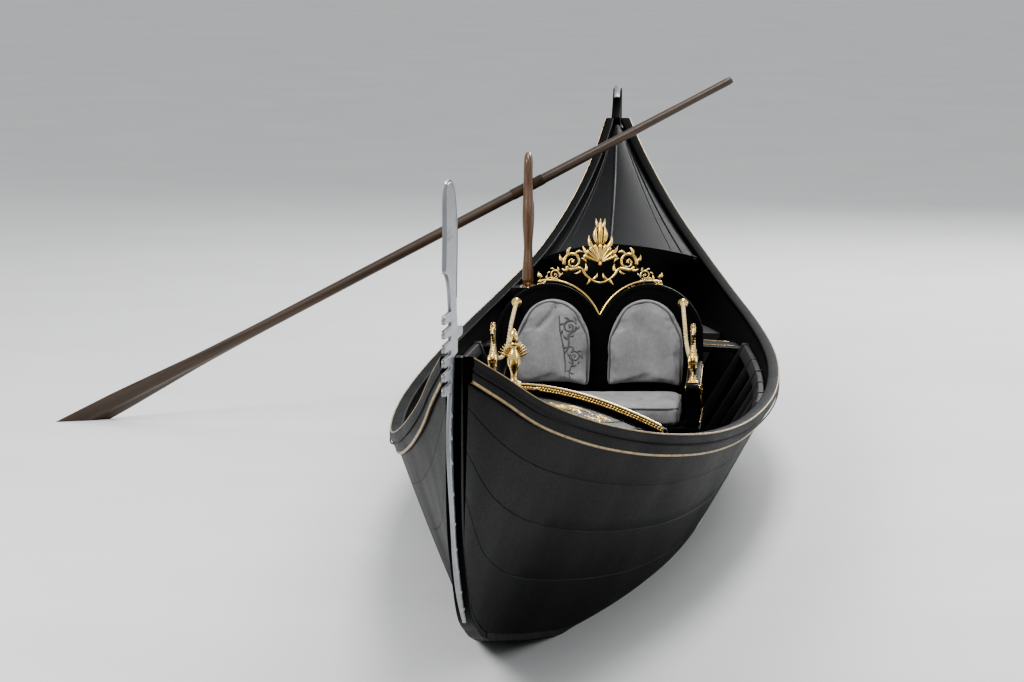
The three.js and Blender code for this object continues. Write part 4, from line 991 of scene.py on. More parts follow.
def locker_door(name, node, body, face, way, y0, y1, z0, z1, hinge_y):
    """A framed and panelled leaf. face is the side towards the cockpit, way its direction."""
    p = Piece()
    lo, hi = (face - 0.014, face) if way > 0 else (face, face + 0.014)
    st = 0.042
    p.add(block(lo, hi, y0, y0 + st, z0, z1, 0.002))
    p.add(block(lo, hi, y1 - st, y1, z0, z1, 0.002))
    p.add(block(lo, hi, y0 + st - 0.001, y1 - st + 0.001, z0, z0 + st, 0.002))
    p.add(block(lo, hi, y0 + st - 0.001, y1 - st + 0.001, z1 - st, z1, 0.002))
    p.add(block(lo + 0.003, hi - 0.003, y0 + st - 0.004, y1 - st + 0.004, z0 + st - 0.004, z1 - st + 0.004, 0.0005))
    cy, cz, hy, hz = (y0 + y1) / 2, (z0 + z1) / 2, (y1 - y0) / 2 - st - 0.016, (z1 - z0) / 2 - st - 0.016
    a, b = hi - 0.0035, hi - 0.0005
    v = [(a, cy - hy - 0.012, cz - hz - 0.012), (a, cy + hy + 0.012, cz - hz - 0.012), (a, cy + hy + 0.012, cz + hz + 0.012), (a, cy - hy - 0.012, cz + hz + 0.012), (b, cy - hy, cz - hz), (b, cy + hy, cz - hz), (b, cy + hy, cz + hz), (b, cy - hy, cz + hz)]
    if way < 0:
        a2, b2 = lo + 0.0035, lo + 0.0005
        v = [((a2 if i < 4 else b2), q[1], q[2]) for i, q in enumerate(v)]
    p.add((v, [(0, 1, 2, 3), (4, 5, 6, 7), (0, 1, 5, 4), (1, 2, 6, 5), (2, 3, 7, 6), (3, 0, 4, 7)]))
    kx = face
    turn = Matrix.Rotation(way * math.pi / 2, 3, "Y")
    p.add(lathe([(0, -0.002), (0.011, -0.002), (0.011, 0.001), (0.0055, 0.004), (0.0055, 0.007), (0.0105, 0.0095), (0.0108, 0.0125), (0.007, 0.0148), (0, 0.0152)], 20, (kx, y1 - 0.04, cz), turn), 1)
    for z in (z0 + 0.055, z1 - 0.055):  # strap hinges
        t0, t1 = (face - 0.0004, face + 0.0022) if way > 0 else (face - 0.0022, face + 0.0004)
        p.add(slab([(y0 + 0.002, z - 0.011), (y0 + 0.05, z - 0.008), (y0 + 0.066, z - 0.0035), (y0 + 0.07, z), (y0 + 0.066, z + 0.0035), (y0 + 0.05, z + 0.008), (y0 + 0.002, z + 0.011)], lambda u, v_, t: (t, u, v_), t0, t1, 0.0007, 1), 1)
        for q in (0.014, 0.032, 0.048):
            p.add(lathe([(0, 0), (0.0026, 0), (0.002, 0.0012), (0, 0.0017)], 8, (face + way * 0.002, y0 + q, z), turn), 1)
    return make(name, p, body, [INNER, BRASS], [node], angle=35)


locker_door("bow_locker_leaf", "bow_locker_door", "bow_door", 3.145, -1, -0.15, 0.19, 0.15, 0.48, -0.151)
locker_door("stern_locker_leaf", "stern_locker_door", "stern_door", -2.318, 1, -0.11, 0.21, 0.05, 0.33, -0.111)

# the riser up to the after deck: boards under a moulded lip, with scrolls in relief
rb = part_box("aft_deck_riser")
top = deck_top(8.75, aft_crown(8.75), 16)[1:-1]
wy = [inside(8.75, PLATFORM_Z + 0.004, k) - 0.0065 for k in (-1, 1)]
zc = zs_(8.75) - 0.03
poly = [(y, z + 0.014) for y, z in top] + [(wy[1], zc), (wy[1], PLATFORM_Z + 0.003), (-wy[0], PLATFORM_Z + 0.003), (-wy[0], zc)]
p = Piece().add(slab(poly, lambda a, b, t: (t, a, b), rb[0][0], rb[1][0], 0.003, 2, 40))
xf = rb[1][0] + 0.0003
face = lambda u, v: (Vector((xf, u, v)), Vector((1, 0, 0)))
mid = (wy[1] - wy[0]) / 2
for k in (-1, 1):
    relief(p, acanthus(mid + k * 0.085, 0.53, 0.072, k, 0 if k > 0 else math.pi), face, 1, 7, 0.5)
frame_y = (-wy[0] + 0.035, wy[1] - 0.035)
for line in ([(frame_y[0], 0.43), (frame_y[1], 0.43)], [(frame_y[0], 0.625), (frame_y[1], 0.625)], [(frame_y[0], 0.43), (frame_y[0], 0.625)], [(frame_y[1], 0.43), (frame_y[1], 0.625)]):
    relief(p, [([tuple(np.array(line[0]) * (1 - t) + np.array(line[1]) * t) for t in span(0, 1, 8)], [0.0024] * 8)], face, 0, 6, 0.7)
make("aft_deck_riser_carved", p, "hull", [DECKBLACK, GILT], ["aft_deck_riser"], angle=38)

# ------------------------------------------------------------------ stuffed pieces
def puff(shape, voxel, cap, pressure=4.0, frames=20, hold=None):
    """Blows a closed form up as cloth and gives back its points and faces, with no point moved further than cap."""
    me = bpy.data.meshes.new("puff")
    me.from_pydata([tuple(p) for p in shape[0]], [], [tuple(f) for f in shape[1]])
    bm = bmesh.new()
    bm.from_mesh(me)
    bmesh.ops.recalc_face_normals(bm, faces=bm.faces)
    bm.to_mesh(me)
    bm.free()
    o = bpy.data.objects.new("puff", me)
    bpy.context.scene.collection.objects.link(o)
    r = o.modifiers.new("r", "REMESH")
    r.mode, r.voxel_size = "VOXEL", voxel
    bpy.context.view_layer.update()
    dg = bpy.context.evaluated_depsgraph_get()
    solid = bpy.data.meshes.new_from_object(o.evaluated_get(dg))
    o.modifiers.clear()
    o.data = solid
    n = len(solid.vertices)
    rest = np.empty(n * 3)
    solid.vertices.foreach_get("co", rest)
    rest = rest.reshape(-1, 3)
    c = o.modifiers.new("c", "CLOTH")
    c.settings.use_pressure = True
    c.settings.uniform_pressure_force = pressure
    c.settings.effector_weights.gravity = 0
    c.settings.quality = 6
    c.settings.mass = 0.3
    c.settings.tension_stiffness = c.settings.compression_stiffness = 22
    c.settings.shear_stiffness = 12
    c.settings.bending_stiffness = 1.2
    c.collision_settings.use_collision = False
    c.point_cache.frame_start, c.point_cache.frame_end = 1, frames
    if hold is not None:
        g = o.vertex_groups.new(name="hold")
        for i in np.nonzero(hold(rest))[0]:
            g.add([int(i)], 1.0, "REPLACE")
        c.settings.vertex_group_mass = "hold"
    for f in range(1, frames + 1):
        bpy.context.scene.frame_set(f)
    e = o.evaluated_get(bpy.context.evaluated_depsgraph_get())
    new = np.empty(n * 3)
    e.data.vertices.foreach_get("co", new)
    new = new.reshape(-1, 3)
    o.modifiers.clear()
    bpy.context.scene.frame_set(1)
    d = new - rest
    far = np.linalg.norm(d, axis=1, keepdims=True)
    new = rest + d * np.minimum(1, cap / np.maximum(far, 1e-9))
    solid.vertices.foreach_set("co", new.ravel())
    solid.update()
    s = o.modifiers.new("s", "SMOOTH")
    s.factor, s.iterations = 0.5, 3
    u = o.modifiers.new("u", "SUBSURF")
    u.levels = u.render_levels = 1
    bpy.context.view_layer.update()
    e = o.evaluated_get(bpy.context.evaluated_depsgraph_get())
    m = bpy.data.meshes.new_from_object(e)
    v = np.empty(len(m.vertices) * 3)
    m.vertices.foreach_get("co", v)
    f = [tuple(q.vertices) for q in m.polygons]
    bpy.data.objects.remove(o)
    for x in (solid, me, m):
        bpy.data.meshes.remove(x)
    return v.reshape(-1, 3), f


def press(v, lines, depth, width, along, facing):
    """Presses creases into points on the side that faces along an axis: each line is 2-D points in the other two axes."""
    ax = [k for k in range(3) if k != along]
    out = v.copy()
    for line, d, w in lines:
        P = np.array(line, float)
        best = np.full(len(v), 1e9)
        for a, b in zip(P, P[1:]):
            ab = b - a
            t = np.clip(((v[:, ax] - a) @ ab) / max(ab @ ab, 1e-12), 0, 1)
            best = np.minimum(best, np.linalg.norm(v[:, ax] - (a + t[:, None] * ab), axis=1))
        out[:, along] -= facing(v) * d * depth * np.exp(-(best / (w * width)) ** 2)
    return out


def soft(name, v, f, piping, body, node, mats=None, extra=()):
    p = Piece().add((v, f), 0)
    for path, r in piping:
        p.add(tube(path, r, 8, round_ends=False), 1)
    for shape, k in extra:
        p.add(shape, k)
    o = make(name, p, body, mats or [VELVET, PIPING], [node], angle=180)
    return o


def loop_around(points, r):
    """A closed ring of piping: joined end to end inside itself."""
    return points + [points[0] + (points[1] - points[0]) * 0.5]


# ------------------------------------------------------------------ the sofa
SX0, SX1, SY0, SY1 = X(6.46), X(5.9), SOFA_Y - 0.44, SOFA_Y + 0.44
p = Piece()
p.add(block(SX0, SX1, SY0, SY1, 0.062, 0.2, 0.006, 3))
p.add(block(SX0 + 0.01, SX1 + 0.004, SY0 + 0.004, SY1 - 0.004, 0.184, SEAT_Z, 0.005, 3))
p.add(block(SX1 - 0.004, SX1 + 0.006, SY0 + 0.02, SY1 - 0.02, 0.06, 0.078, 0.003, 2))
for s in (5.93, 6.43):
    for y in (SY0 + 0.115, SY1 - 0.115):
        z = FLOOR_Z + 0.0006
        p.add(lathe([(0, z), (0.012, z), (0.015, z + 0.005), (0.0155, z + 0.012), (0.01, z + 0.019), (0.014, z + 0.026), (0.021, z + 0.046), (0.0215, z + 0.062), (0.016, z + 0.074), (0.0135, z + 0.08), (0.02, z + 0.085), (0.022, z + 0.093), (0.022, 0.07), (0, 0.07)], 20, (X(s), y, 0)))
xf = SX1 + 0.0003
face = lambda u, v: (Vector((xf, u, v)), Vector((1, 0, 0)))
for k in (-1, 1):
    relief(p, acanthus(SOFA_Y + k * 0.1, 0.131, 0.058, k, 0 if k > 0 else math.pi), face, 1, 6, 0.55)
    relief(p, acanthus(SOFA_Y + k * 0.29, 0.131, 0.05, -k, math.pi if k > 0 else 0), face, 1, 6, 0.55)
relief(p, [([(SOFA_Y + 0.026 * math.cos(a), 0.131 + 0.036 * math.sin(a)) for a in span(0, 2 * math.pi, 24)], [0.003] * 24), ([(SOFA_Y - 0.001, 0.131), (SOFA_Y + 0.001, 0.131)], [0.011, 0.011])], face, 1, 8, 0.6)
for z in (0.089, 0.177):
    relief(p, [([(y, z) for y in span(SY0 + 0.02, SY1 - 0.02, 30)], [0.0022] * 30)], face, 1, 6, 0.7)
make("sofa_base_carved", p, "hull", [DECKBLACK, GILT], ["sofa_base"], angle=40)

lean = lambda x, z: x - (z - SEAT_Z) * RAKE


def arch_line(yc, half, z_low, z_shoulder, z_top, n=26):
    pts = [(yc + half, z_low)]
    pts += [(yc + half * math.cos(a), z_shoulder + (z_top - z_shoulder) * math.sin(a)) for a in span(0, math.pi, n)]
    return pts + [(yc - half, z_low)]


# back board with two arches, beaded on both faces, the beads on the after face gilt
outline = []
for k in (1, -1):
    yc = SOFA_Y + k * 0.212
    for a in span(0, math.pi, 30):
        y = yc + 0.228 * math.cos(a)
        if (y - SOFA_Y) * k > 0.0005:
            outline.append((min(max(y, SY0 + 0.004), SY1 - 0.004), 0.49 + 0.24 * math.sin(a)))
outline = [(SY1 - 0.004, SEAT_Z + 0.002)] + outline + [(SY0 + 0.004, SEAT_Z + 0.002)]
p = Piece().add(slab(outline, lambda a, b, t: (lean(t, b), a, b), BACK_X - 0.034, BACK_X - 0.002, 0.006, 3, 40))
bead = [q for q in outline[1:-1]]


def inset(line, d):
    c = []
    for i, q in enumerate(line):
        a, b = np.array(line[max(i - 1, 0)]), np.array(line[min(i + 1, len(line) - 1)])
        t = (b - a) / max(np.linalg.norm(b - a), 1e-9)
        c.append((q[0] - t[1] * d, q[1] + t[0] * d))
    return c


for xx, nx in ((BACK_X - 0.0022, 1), (BACK_X - 0.0338, -1)):
    back = lambda u, v, xx=xx, nx=nx: (Vector((lean(xx, v), u, v)), Vector((nx, 0, nx * RAKE)).normalized())
    for d, w in ((0.014, 0.0034), (0.022, 0.0018)):
        for k in (1, -1):
            arch_ = [q for q in bead if (q[0] - SOFA_Y) * k > 0.004]
            ins = [q for q in inset(arch_, d) if (q[0] - SOFA_Y) * k > 0.004]
            relief(p, [(ins, [w] * len(ins))], back, 0 if nx > 0 else 1, 8, 0.8)
    if nx < 0:  # the after face
        for k in (-1, 1):
            relief(p, acanthus(SOFA_Y + k * 0.19, 0.5, 0.11, k, 0.4 * k if k > 0 else math.pi + 0.4 * k), back, 1, 7, 0.45)
            relief(p, acanthus(SOFA_Y + k * 0.2, 0.33, 0.085, -k, math.pi if k > 0 else 0), back, 1, 7, 0.45)
make("sofa_backrest_carved", p, "hull", [DECKBLACK, GILT], ["sofa_backrest"], angle=40)

# arms: scrolled ends, beaded edges, a carved scroll on each side
ARM = [(5.9, 0.207), (6.44, 0.207), (6.44, 0.42), (6.3, 0.412), (6.15, 0.394), (6.03, 0.384), (5.88, 0.384), (5.87, 0.372), (5.88, 0.35), (5.905, 0.335)]
for side, name in ((-1, "starboard"), (1, "port")):
    y = SOFA_Y + side * 0.408
    topline = flat2(catmull([(6.44, 0.42), (6.3, 0.412), (6.15, 0.394), (6.03, 0.384), (5.9, 0.384)], 6))
    nose = [(5.877, 0.381), (5.87, 0.3715), (5.872, 0.36), (5.88, 0.35), (5.897, 0.339), (5.905, 0.327), (5.907, 0.31), (5.902, 0.26)]
    prof = [(5.9, 0.207), (6.44, 0.207)] + topline + nose
    p = Piece().add(slab([(X(s), z) for s, z in prof], lambda a, b, t: (a, t, b), y - 0.028, y + 0.028, 0.0065, 3, 40))
    for k in (-1, 1):
        fy = y + k * 0.0282
        sidef = lambda u, v, fy=fy, k=k: (Vector((u, fy, v)), Vector((0, k, 0)))
        relief(p, [([(X(s), z - 0.014) for s, z in topline[1:-2]], [0.0028] * (len(topline) - 3)), ([(X(s), 0.224) for s in span(6.42, 5.92, 20)], [0.0024] * 20)], sidef, 1, 8, 0.8)
        relief(p, acanthus(X(6.15), 0.3, 0.088, 1, 0), sidef, 1, 7, 0.5)
        relief(p, acanthus(X(6.35), 0.31, 0.05, -1, math.pi), sidef, 1, 7, 0.5)
    p.add(lathe([(0, -0.0295), (0.012, -0.0295), (0.0135, -0.027), (0.0135, 0.027), (0.012, 0.0295), (0, 0.0295)], 20, (X(5.888), y, 0.3675), Matrix.Rotation(math.pi / 2, 3, "X")), 1)
    make("sofa_arm_" + name + "_carved", p, "hull", [DECKBLACK, GILT], ["sofa_arm_" + name], angle=40)

# crest: pierced scrolls and leaves on a thin black ground
p = Piece()
zt = lambda y: 0.49 + 0.24 * math.sqrt(max(0.0, 1 - ((abs(y) - 0.212) / 0.228) ** 2))
ground_top = flat2(catmull([(0, 0.955), (0.03, 0.93), (0.055, 0.885), (0.09, 0.85), (0.12, 0.815), (0.17, 0.79), (0.215, 0.757), (0.25, 0.742)], 5))
low = [(y, zt(y) + 0.0045) for y in span(-0.25, 0.25, 41)]
ground = [(SOFA_Y + y, z) for y, z in [(-a, b) for a, b in reversed(ground_top)][:-1] + ground_top] + [(SOFA_Y + y, z) for y, z in reversed(low)]
mx = BACK_X - 0.019
p.add(slab(ground, lambda a, b, t: (lean(t, b), a, b), mx - 0.004, mx + 0.004, 0.0015, 1, 40), 0)
for nx in (1, -1):
    cf = lambda u, v, nx=nx: (Vector((lean(mx + nx * 0.0042, v), u, v)), Vector((nx, 0, nx * RAKE)).normalized())
    H = 0.62
    for k in (-1, 1):
        relief(p, acanthus(SOFA_Y + k * 0.1, 0.812, 0.082, k, 0.5 * k if k > 0 else math.pi + 0.5 * k), cf, 1, 8, H)
        relief(p, acanthus(SOFA_Y + k * 0.2, 0.762, 0.046, -k, math.pi - 0.35 * k if k > 0 else -0.35 * k), cf, 1, 8, H)
        relief(p, [leaf(SOFA_Y + k * 0.012, 0.895, math.pi / 2 - k * 0.45, 0.085, k * 0.9, 0.0095), leaf(SOFA_Y + k * 0.02, 0.87, math.pi / 2 - k * 0.9, 0.075, k * 1.0, 0.0095), leaf(SOFA_Y + k * 0.03, 0.845, math.pi / 2 - k * 1.3, 0.07, k * 1.1, 0.009)], cf, 1, 8, H)
        relief(p, [leaf(SOFA_Y + k * 0.245, 0.757, 0.2 if k > 0 else math.pi - 0.2, 0.03, k * 1.6, 0.008)], cf, 1, 8, H)
    for i in range(9):  # shell
        a = math.pi / 2 + (i - 4) * 0.3
        n_ = 8
        relief(p, [([(SOFA_Y + (0.01 + 0.062 * t) * math.cos(a), 0.818 + (0.01 + 0.062 * t) * math.sin(a)) for t in span(0, 1, n_)], [0.0035 + 0.0062 * t ** 0.8 for t in span(0, 1, n_)])], cf, 1, 8, 0.75)
    relief(p, [([(SOFA_Y - 0.001, 0.812), (SOFA_Y + 0.001, 0.812)], [0.0125, 0.0125])], cf, 1, 10, 0.8)
    relief(p, [leaf(SOFA_Y, 0.89, math.pi / 2, 0.122, 0.0, 0.0115), leaf(SOFA_Y, 0.955, math.pi / 2 + 0.75, 0.055, -0.8, 0.007), leaf(SOFA_Y, 0.955, math.pi / 2 - 0.75, 0.055, 0.8, 0.007)], cf, 1, 8, 0.9)
rail = [(lean(mx, zt(y) + 0.012), SOFA_Y + y, zt(y) + 0.012) for y in span(-0.255, 0.255, 60)]
p.add(tube(rail, 0.0068, 10), 1)
make("sofa_crest_carved", p, "hull", [DECKBLACK, GILT], ["sofa_crest"], angle=60)


# ------------------------------------------------------------------ cushions
def rounded_box(x0, x1, y0, y1, z0, z1, r):
    return block(x0, x1, y0, y1, z0, z1, r, 4)


# seat: one long cushion, welted round its top and bottom edge, buttoned in two rows
c0, c1 = (SX0 + 0.014, SY0 + 0.08, SEAT_Z + 0.0045), (SX1 + 0.0, SY1 - 0.08, SEAT_Z + 0.079)
v, f = puff(rounded_box(c0[0], c1[0], c0[1], c1[1], c0[2], c1[2], 0.02), 0.0085, 0.013)
v[:, 2] = np.maximum(v[:, 2], SEAT_Z + 0.0012)
up = lambda q: np.clip((q[:, 2] - (SEAT_Z + 0.04)) / 0.03, 0, 1)
buttons = [(SX0 + 0.15 + 0.2 * r, SOFA_Y + (k - 1.5 + 0.5 * (r % 2)) * 0.19) for r in range(2) for k in range(4) if abs((k - 1.5 + 0.5 * (r % 2)) * 0.19) < 0.33]
lines = [([b, (b[0] + 1e-4, b[1])], 1.0, 1.0) for b in buttons]
for i, a in enumerate(buttons):
    for b in buttons[i + 1:]:
        if 0.09 < math.dist(a, b) < 0.235 and a[0] != b[0]:
            lines.append(([a, b], 0.28, 0.42))
v = press(v, lines, 0.013, 0.026, 2, up)
lo_, hi_ = v.min(0), v.max(0)
extra = []
for x, y in buttons:
    near = v[np.argmin((v[:, 0] - x) ** 2 + (v[:, 1] - y) ** 2 + 100 * np.maximum(0, SEAT_Z + 0.05 - v[:, 2]))]
    extra.append((lathe([(0, 0), (0.011, 0), (0.0105, 0.0035), (0.006, 0.0062), (0, 0.0068)], 14, (x, y, float(near[2]) - 0.0012)), 1))


def rim(v, z, x0, x1, y0, y1, r, n=10):
    """Where the cushion's edge is at one height: the rounded rectangle moved out to the cloth."""
    band = v[np.abs(v[:, 2] - z) < 0.006]
    pts = []
    for cx, cy, a0 in ((x1 - r, y1 - r, 0), (x0 + r, y1 - r, 90), (x0 + r, y0 + r, 180), (x1 - r, y0 + r, 270)):
        for a in span(a0, a0 + 90, 5):
            pts.append((cx + r * math.cos(math.radians(a)), cy + r * math.sin(math.radians(a))))
    out = []
    m = len(pts)
    for i in range(m):
        a, b = pts[i], pts[(i + 1) % m]
        k = max(1, int(math.dist(a, b) / 0.03))
        for j in range(k):
            q = (a[0] + (b[0] - a[0]) * j / k, a[1] + (b[1] - a[1]) * j / k)
            d = (band[:, 0] - q[0]) ** 2 + (band[:, 1] - q[1]) ** 2
            w = band[np.argmin(d)]
            out.append(Vector((float(w[0]), float(w[1]), z)))
    # even out
    for _ in range(4):
        out = [(out[i - 1] + out[i] * 2 + out[(i + 1) % len(out)]) / 4 for i in range(len(out))]
    return out


pipes = []
for z in (SEAT_Z + 0.0165, SEAT_Z + 0.072):
    ring = rim(v, z, lo_[0], hi_[0], lo_[1], hi_[1], 0.03)
    pipes.append((ring + ring[:2], 0.0045))
soft("seat_cushion", v, f, pipes, "hull", "sofa_seat_cushion", extra=extra)

# back: two arched cushions of one pattern, leaning on the board
HALF, ZL, ZS, ZT = 0.168, SEAT_Z + 0.109, 0.468, 0.676
base = arch_line(0.0, HALF, ZL, ZS, ZT, 30)
v, f = puff(bevelled(*slab(base, lambda a, b, t: (t, a, b), BACK_X + 0.008, BACK_X + 0.066, 0.018, 4, 50), 0.0), 0.0068, 0.014)
v[:, 0] = np.maximum(v[:, 0], BACK_X + 0.001)
v[:, 2] = np.maximum(v[:, 2], SEAT_Z + 0.0985)
fr = lambda q: np.clip((q[:, 0] - (BACK_X + 0.045)) / 0.02, 0, 1)
for side, name in ((-1, "starboard"), (1, "port")):
    folds = [([(-0.02 * side, 0.66), (-0.03 * side, 0.6), (0.015 * side, 0.5), (0.03 * side, 0.36)], 0.5, 0.7), ([(0.07, 0.63), (0.1, 0.52), (0.085, 0.38)], 0.35, 0.9), ([(-0.1, 0.6), (-0.12, 0.48)], 0.3, 0.9)]
    if side < 0:
        folds.append(([(0.012, 0.64), (-0.012, 0.6), (-0.055, 0.555)], 1.1, 0.42))
    w = press(v, folds, 0.0085, 0.028, 0, fr)
    w[:, 1] += SOFA_Y + side * 0.195
    edge = [Vector((BACK_X + 0.012, SOFA_Y + side * 0.195 + a, b)) for a, b in base]

    def out_to(z_off, xx):
        pts = []
        for a, b in arch_line(0.0, HALF + 0.0, ZL, ZS, ZT, 40):
            q = np.array([xx, SOFA_Y + side * 0.195 + a, b])
            d = np.abs(w[:, 0] - xx) * 3 + np.hypot(w[:, 1] - q[1], w[:, 2] - q[2])
            n_ = w[np.argmin(d)]
            pts.append(Vector((xx, float(n_[1]), float(n_[2]))))
        for _ in range(3):
            pts = [pts[0]] + [(pts[i - 1] + pts[i] * 2 + pts[i + 1]) / 4 for i in range(1, len(pts) - 1)] + [pts[-1]]
        return pts
    pipes = [([Vector((lean(q.x, q.z), q.y, q.z)) for q in out_to(0, xx)], 0.0045) for xx in (BACK_X + 0.0605, BACK_X + 0.016)]
    yc = SOFA_Y + side * 0.195
    extra = []
    # a dark braid sewn on in scrolls, on the inboard half of the starboard cushion
    front = w[w[:, 0] > BACK_X + 0.04]

    def on_front(u, z):
        d = (front[:, 1] - u) ** 2 + (front[:, 2] - z) ** 2
        k = np.argsort(d)[:6]
        wt = 1 / (d[k] + 1e-6)
        return Vector((lean(float((front[k, 0] * wt).sum() / wt.sum()), z), u, z)), Vector((1, 0, 0.05)).normalized()
    q = Piece()
    if side < 0:
        lines = acanthus(yc + 0.07, 0.545, 0.062, 1, 1.25) + acanthus(yc + 0.095, 0.425, 0.05, -1, 1.5)
        lines.append(([(yc + 0.012, 0.64), (yc + 0.03, 0.6), (yc + 0.034, 0.54), (yc + 0.05, 0.47), (yc + 0.058, 0.4), (yc + 0.055, 0.35)], [0.0032] * 6))
        relief(q, lines, on_front, 1, 6, 0.45)
    w2 = w.copy()
    w2[:, 0] = w[:, 0] - (w[:, 2] - SEAT_Z) * RAKE
    if q.v:
        extra.append(((q.v, q.f), 1))
    soft("back_cushion_" + name, w2, f, pipes, "hull", "sofa_back_cushion_" + name, extra=extra)

# ------------------------------------------------------------------ two small chairs that face the sofa
v0 = f0 = None
for side, name, y in ((-1, "starboard", -0.084), (1, "port", 0.278)):
    x, w, d, z0 = X(4.35), 0.165, 0.18, FLOOR_Z + 0.0086
    p = Piece()
    for a in (-1, 1):
        for b in (-1, 1):
            lx, ly = x + a * (d - 0.018), y + b * (w - 0.018)
            p.add(lathe([(0, z0), (0.0085, z0), (0.0115, z0 + 0.004), (0.012, z0 + 0.011), (0.008, z0 + 0.019), (0.0095, z0 + 0.03), (0.0155, z0 + 0.07), (0.016, z0 + 0.09), (0.011, z0 + 0.104), (0.0155, z0 + 0.11), (0.0155, z0 + 0.117), (0.012, z0 + 0.123), (0.012, 0.15), (0, 0.15)], 18, (lx, ly, 0)))
            p.add(block(lx - 0.0155, lx + 0.0155, ly - 0.0155, ly + 0.0155, 0.108, 0.15, 0.002))
    p.add(block(x - d + 0.006, x + d - 0.006, y - w + 0.006, y + w - 0.006, 0.118, 0.16, 0.004, 2))
    p.add(block(x - d, x + d, y - w, y + w, 0.156, 0.175, 0.006, 3))
    back = [(y - w + 0.002, 0.17)] + [(y + w * math.cos(a) * 0.995, 0.33 + 0.12 * math.sin(a)) for a in span(math.pi, 0, 26)] + [(y + w - 0.002, 0.17)]
    p.add(slab(back, lambda a, b, t: (t, a, b), x + d - 0.026, x + d, 0.0055, 3, 40))
    for xx, nx in ((x + d + 0.0002, 1), (x + d - 0.0262, -1)):
        bf = lambda u, v, xx=xx, nx=nx: (Vector((xx, u, v)), Vector((nx, 0, 0)))
        ins = [q for q in inset([(a, b) for a, b in back[1:-1]], -0.013)]
        relief(p, [(ins, [0.003] * len(ins))], bf, 1, 8, 0.8)
        ins = [q for q in inset([(a, b) for a, b in back[1:-1]], -0.021)]
        relief(p, [(ins, [0.0016] * len(ins))], bf, 1, 6, 0.8)
        for k in (-1, 1):
            relief(p, acanthus(y + k * 0.055, 0.335, 0.05, k, 0.25 * k if k > 0 else math.pi + 0.25 * k), bf, 1, 7, 0.5)
        relief(p, [leaf(y, 0.36, math.pi / 2, 0.06, 0, 0.007), leaf(y, 0.36, math.pi / 2 + 0.7, 0.045, -0.6, 0.005), leaf(y, 0.36, math.pi / 2 - 0.7, 0.045, 0.6, 0.005)], bf, 1, 8, 0.7)
    for k, fy in ((-1, y - w + 0.0058), (1, y + w - 0.0058)):
        sf = lambda u, v, fy=fy, k=k: (Vector((u, fy, v)), Vector((0, k, 0)))
        relief(p, [([(q, 0.139) for q in span(x - d + 0.03, x + d - 0.03, 14)], [0.0024] * 14)], sf, 1, 6, 0.8)
    make("chair_" + name + "_carved", p, "hull", [DECKBLACK, GILT], ["chair_" + name], angle=40)
    if v0 is None:
        b0 = rounded_box(-d + 0.016, d - 0.04, -w + 0.016, w - 0.016, 0.1795, 0.2285, 0.016)
        v0, f0 = puff(b0, 0.0068, 0.011)
        v0[:, 2] = np.maximum(v0[:, 2], 0.1762)
        v0 = press(v0, [([(-0.012, 0.0), (-0.0119, 0.0)], 1.0, 1.0), ([(-0.012, 0.0), (-0.12, 0.1)], 0.25, 0.5), ([(-0.012, 0.0), (0.1, 0.1)], 0.25, 0.5), ([(-0.012, 0.0), (-0.12, -0.1)], 0.25, 0.5), ([(-0.012, 0.0), (0.1, -0.1)], 0.25, 0.5)], 0.011, 0.024, 2, lambda q: np.clip((q[:, 2] - 0.2) / 0.015, 0, 1))
    vv = v0 + np.array([x, y, 0])
    l0, h0 = vv.min(0), vv.max(0)
    pipes = []
    for z in (0.1875, 0.2225):
        ring = rim(vv, z, l0[0], h0[0], l0[1], h0[1], 0.025)
        pipes.append((ring + ring[:2], 0.0042))
    k = np.argmin((vv[:, 0] - x + 0.012) ** 2 + (vv[:, 1] - y) ** 2 + 100 * np.maximum(0, 0.2 - vv[:, 2]))
    soft("chair_" + name + "_pad", vv, f0, pipes, "hull", f"chair_{name}_cushion", extra=[(lathe([(0, 0), (0.011, 0), (0.0105, 0.0035), (0.006, 0.0062), (0, 0.0068)], 14, (x - 0.012, y, float(vv[k][2]) - 0.0012)), 1)])

# ------------------------------------------------------------------ carpet: a strip of pile laid on the floorboards
cw, cl = 0.515, 2.2
cx0, cy0 = X(5.8), -0.165
nx_, ny_ = 220, 52
top_, bot_ = [], []
for i in range(nx_ + 1):
    for j in range(ny_ + 1):
        x, y = cx0 + cl * i / nx_, cy0 + cw * j / ny_
        e = min(i, nx_ - i, j, ny_ - j) / 5
        h = 0.0052 * min(1, 0.35 + e) + 0.0011 * max(0, noise.noise(Vector((x * 3.1, y * 5.3, 0.4)))) * min(1, e)
        top_.append((x, y, FLOOR_Z + 0.0009 + h))
        bot_.append((x, y, FLOOR_Z + 0.0006))
n1 = ny_ + 1
p = Piece()
p.v = top_ + bot_
off = len(top_)
for i in range(nx_):
    for j in range(ny_):
        a = i * n1 + j
        # cells in from the nearest edge: two lines that run round, and stepped lozenges inside them
        d_ = min(i, nx_ - 1 - i, j, ny_ - 1 - j)
        lozenge = abs((i - 15) % 10 - 4.5) + abs((j - 11) % 10 - 4.5)
        border = d_ in (4, 5, 8) or (15 <= i < 205 and 11 <= j < 41 and lozenge in (1, 4))
        p.f += [(a, a + n1, a + n1 + 1, a + 1), (off + a, off + a + 1, off + a + n1 + 1, off + a + n1)]
        p.m += [1 if border else 0, 0]
for i in range(nx_):
    for j, s_ in ((0, 1), (ny_, -1)):
        a, b = i * n1 + j, (i + 1) * n1 + j
        p.f.append((a, off + a, off + b, b) if s_ > 0 else (a, b, off + b, off + a))
        p.m.append(0)
for j in range(ny_):
    for i, s_ in ((0, -1), (nx_, 1)):
        a, b = i * n1 + j, i * n1 + j + 1
        p.f.append((a, off + a, off + b, b) if s_ > 0 else (a, b, off + b, off + a))
        p.m.append(0)
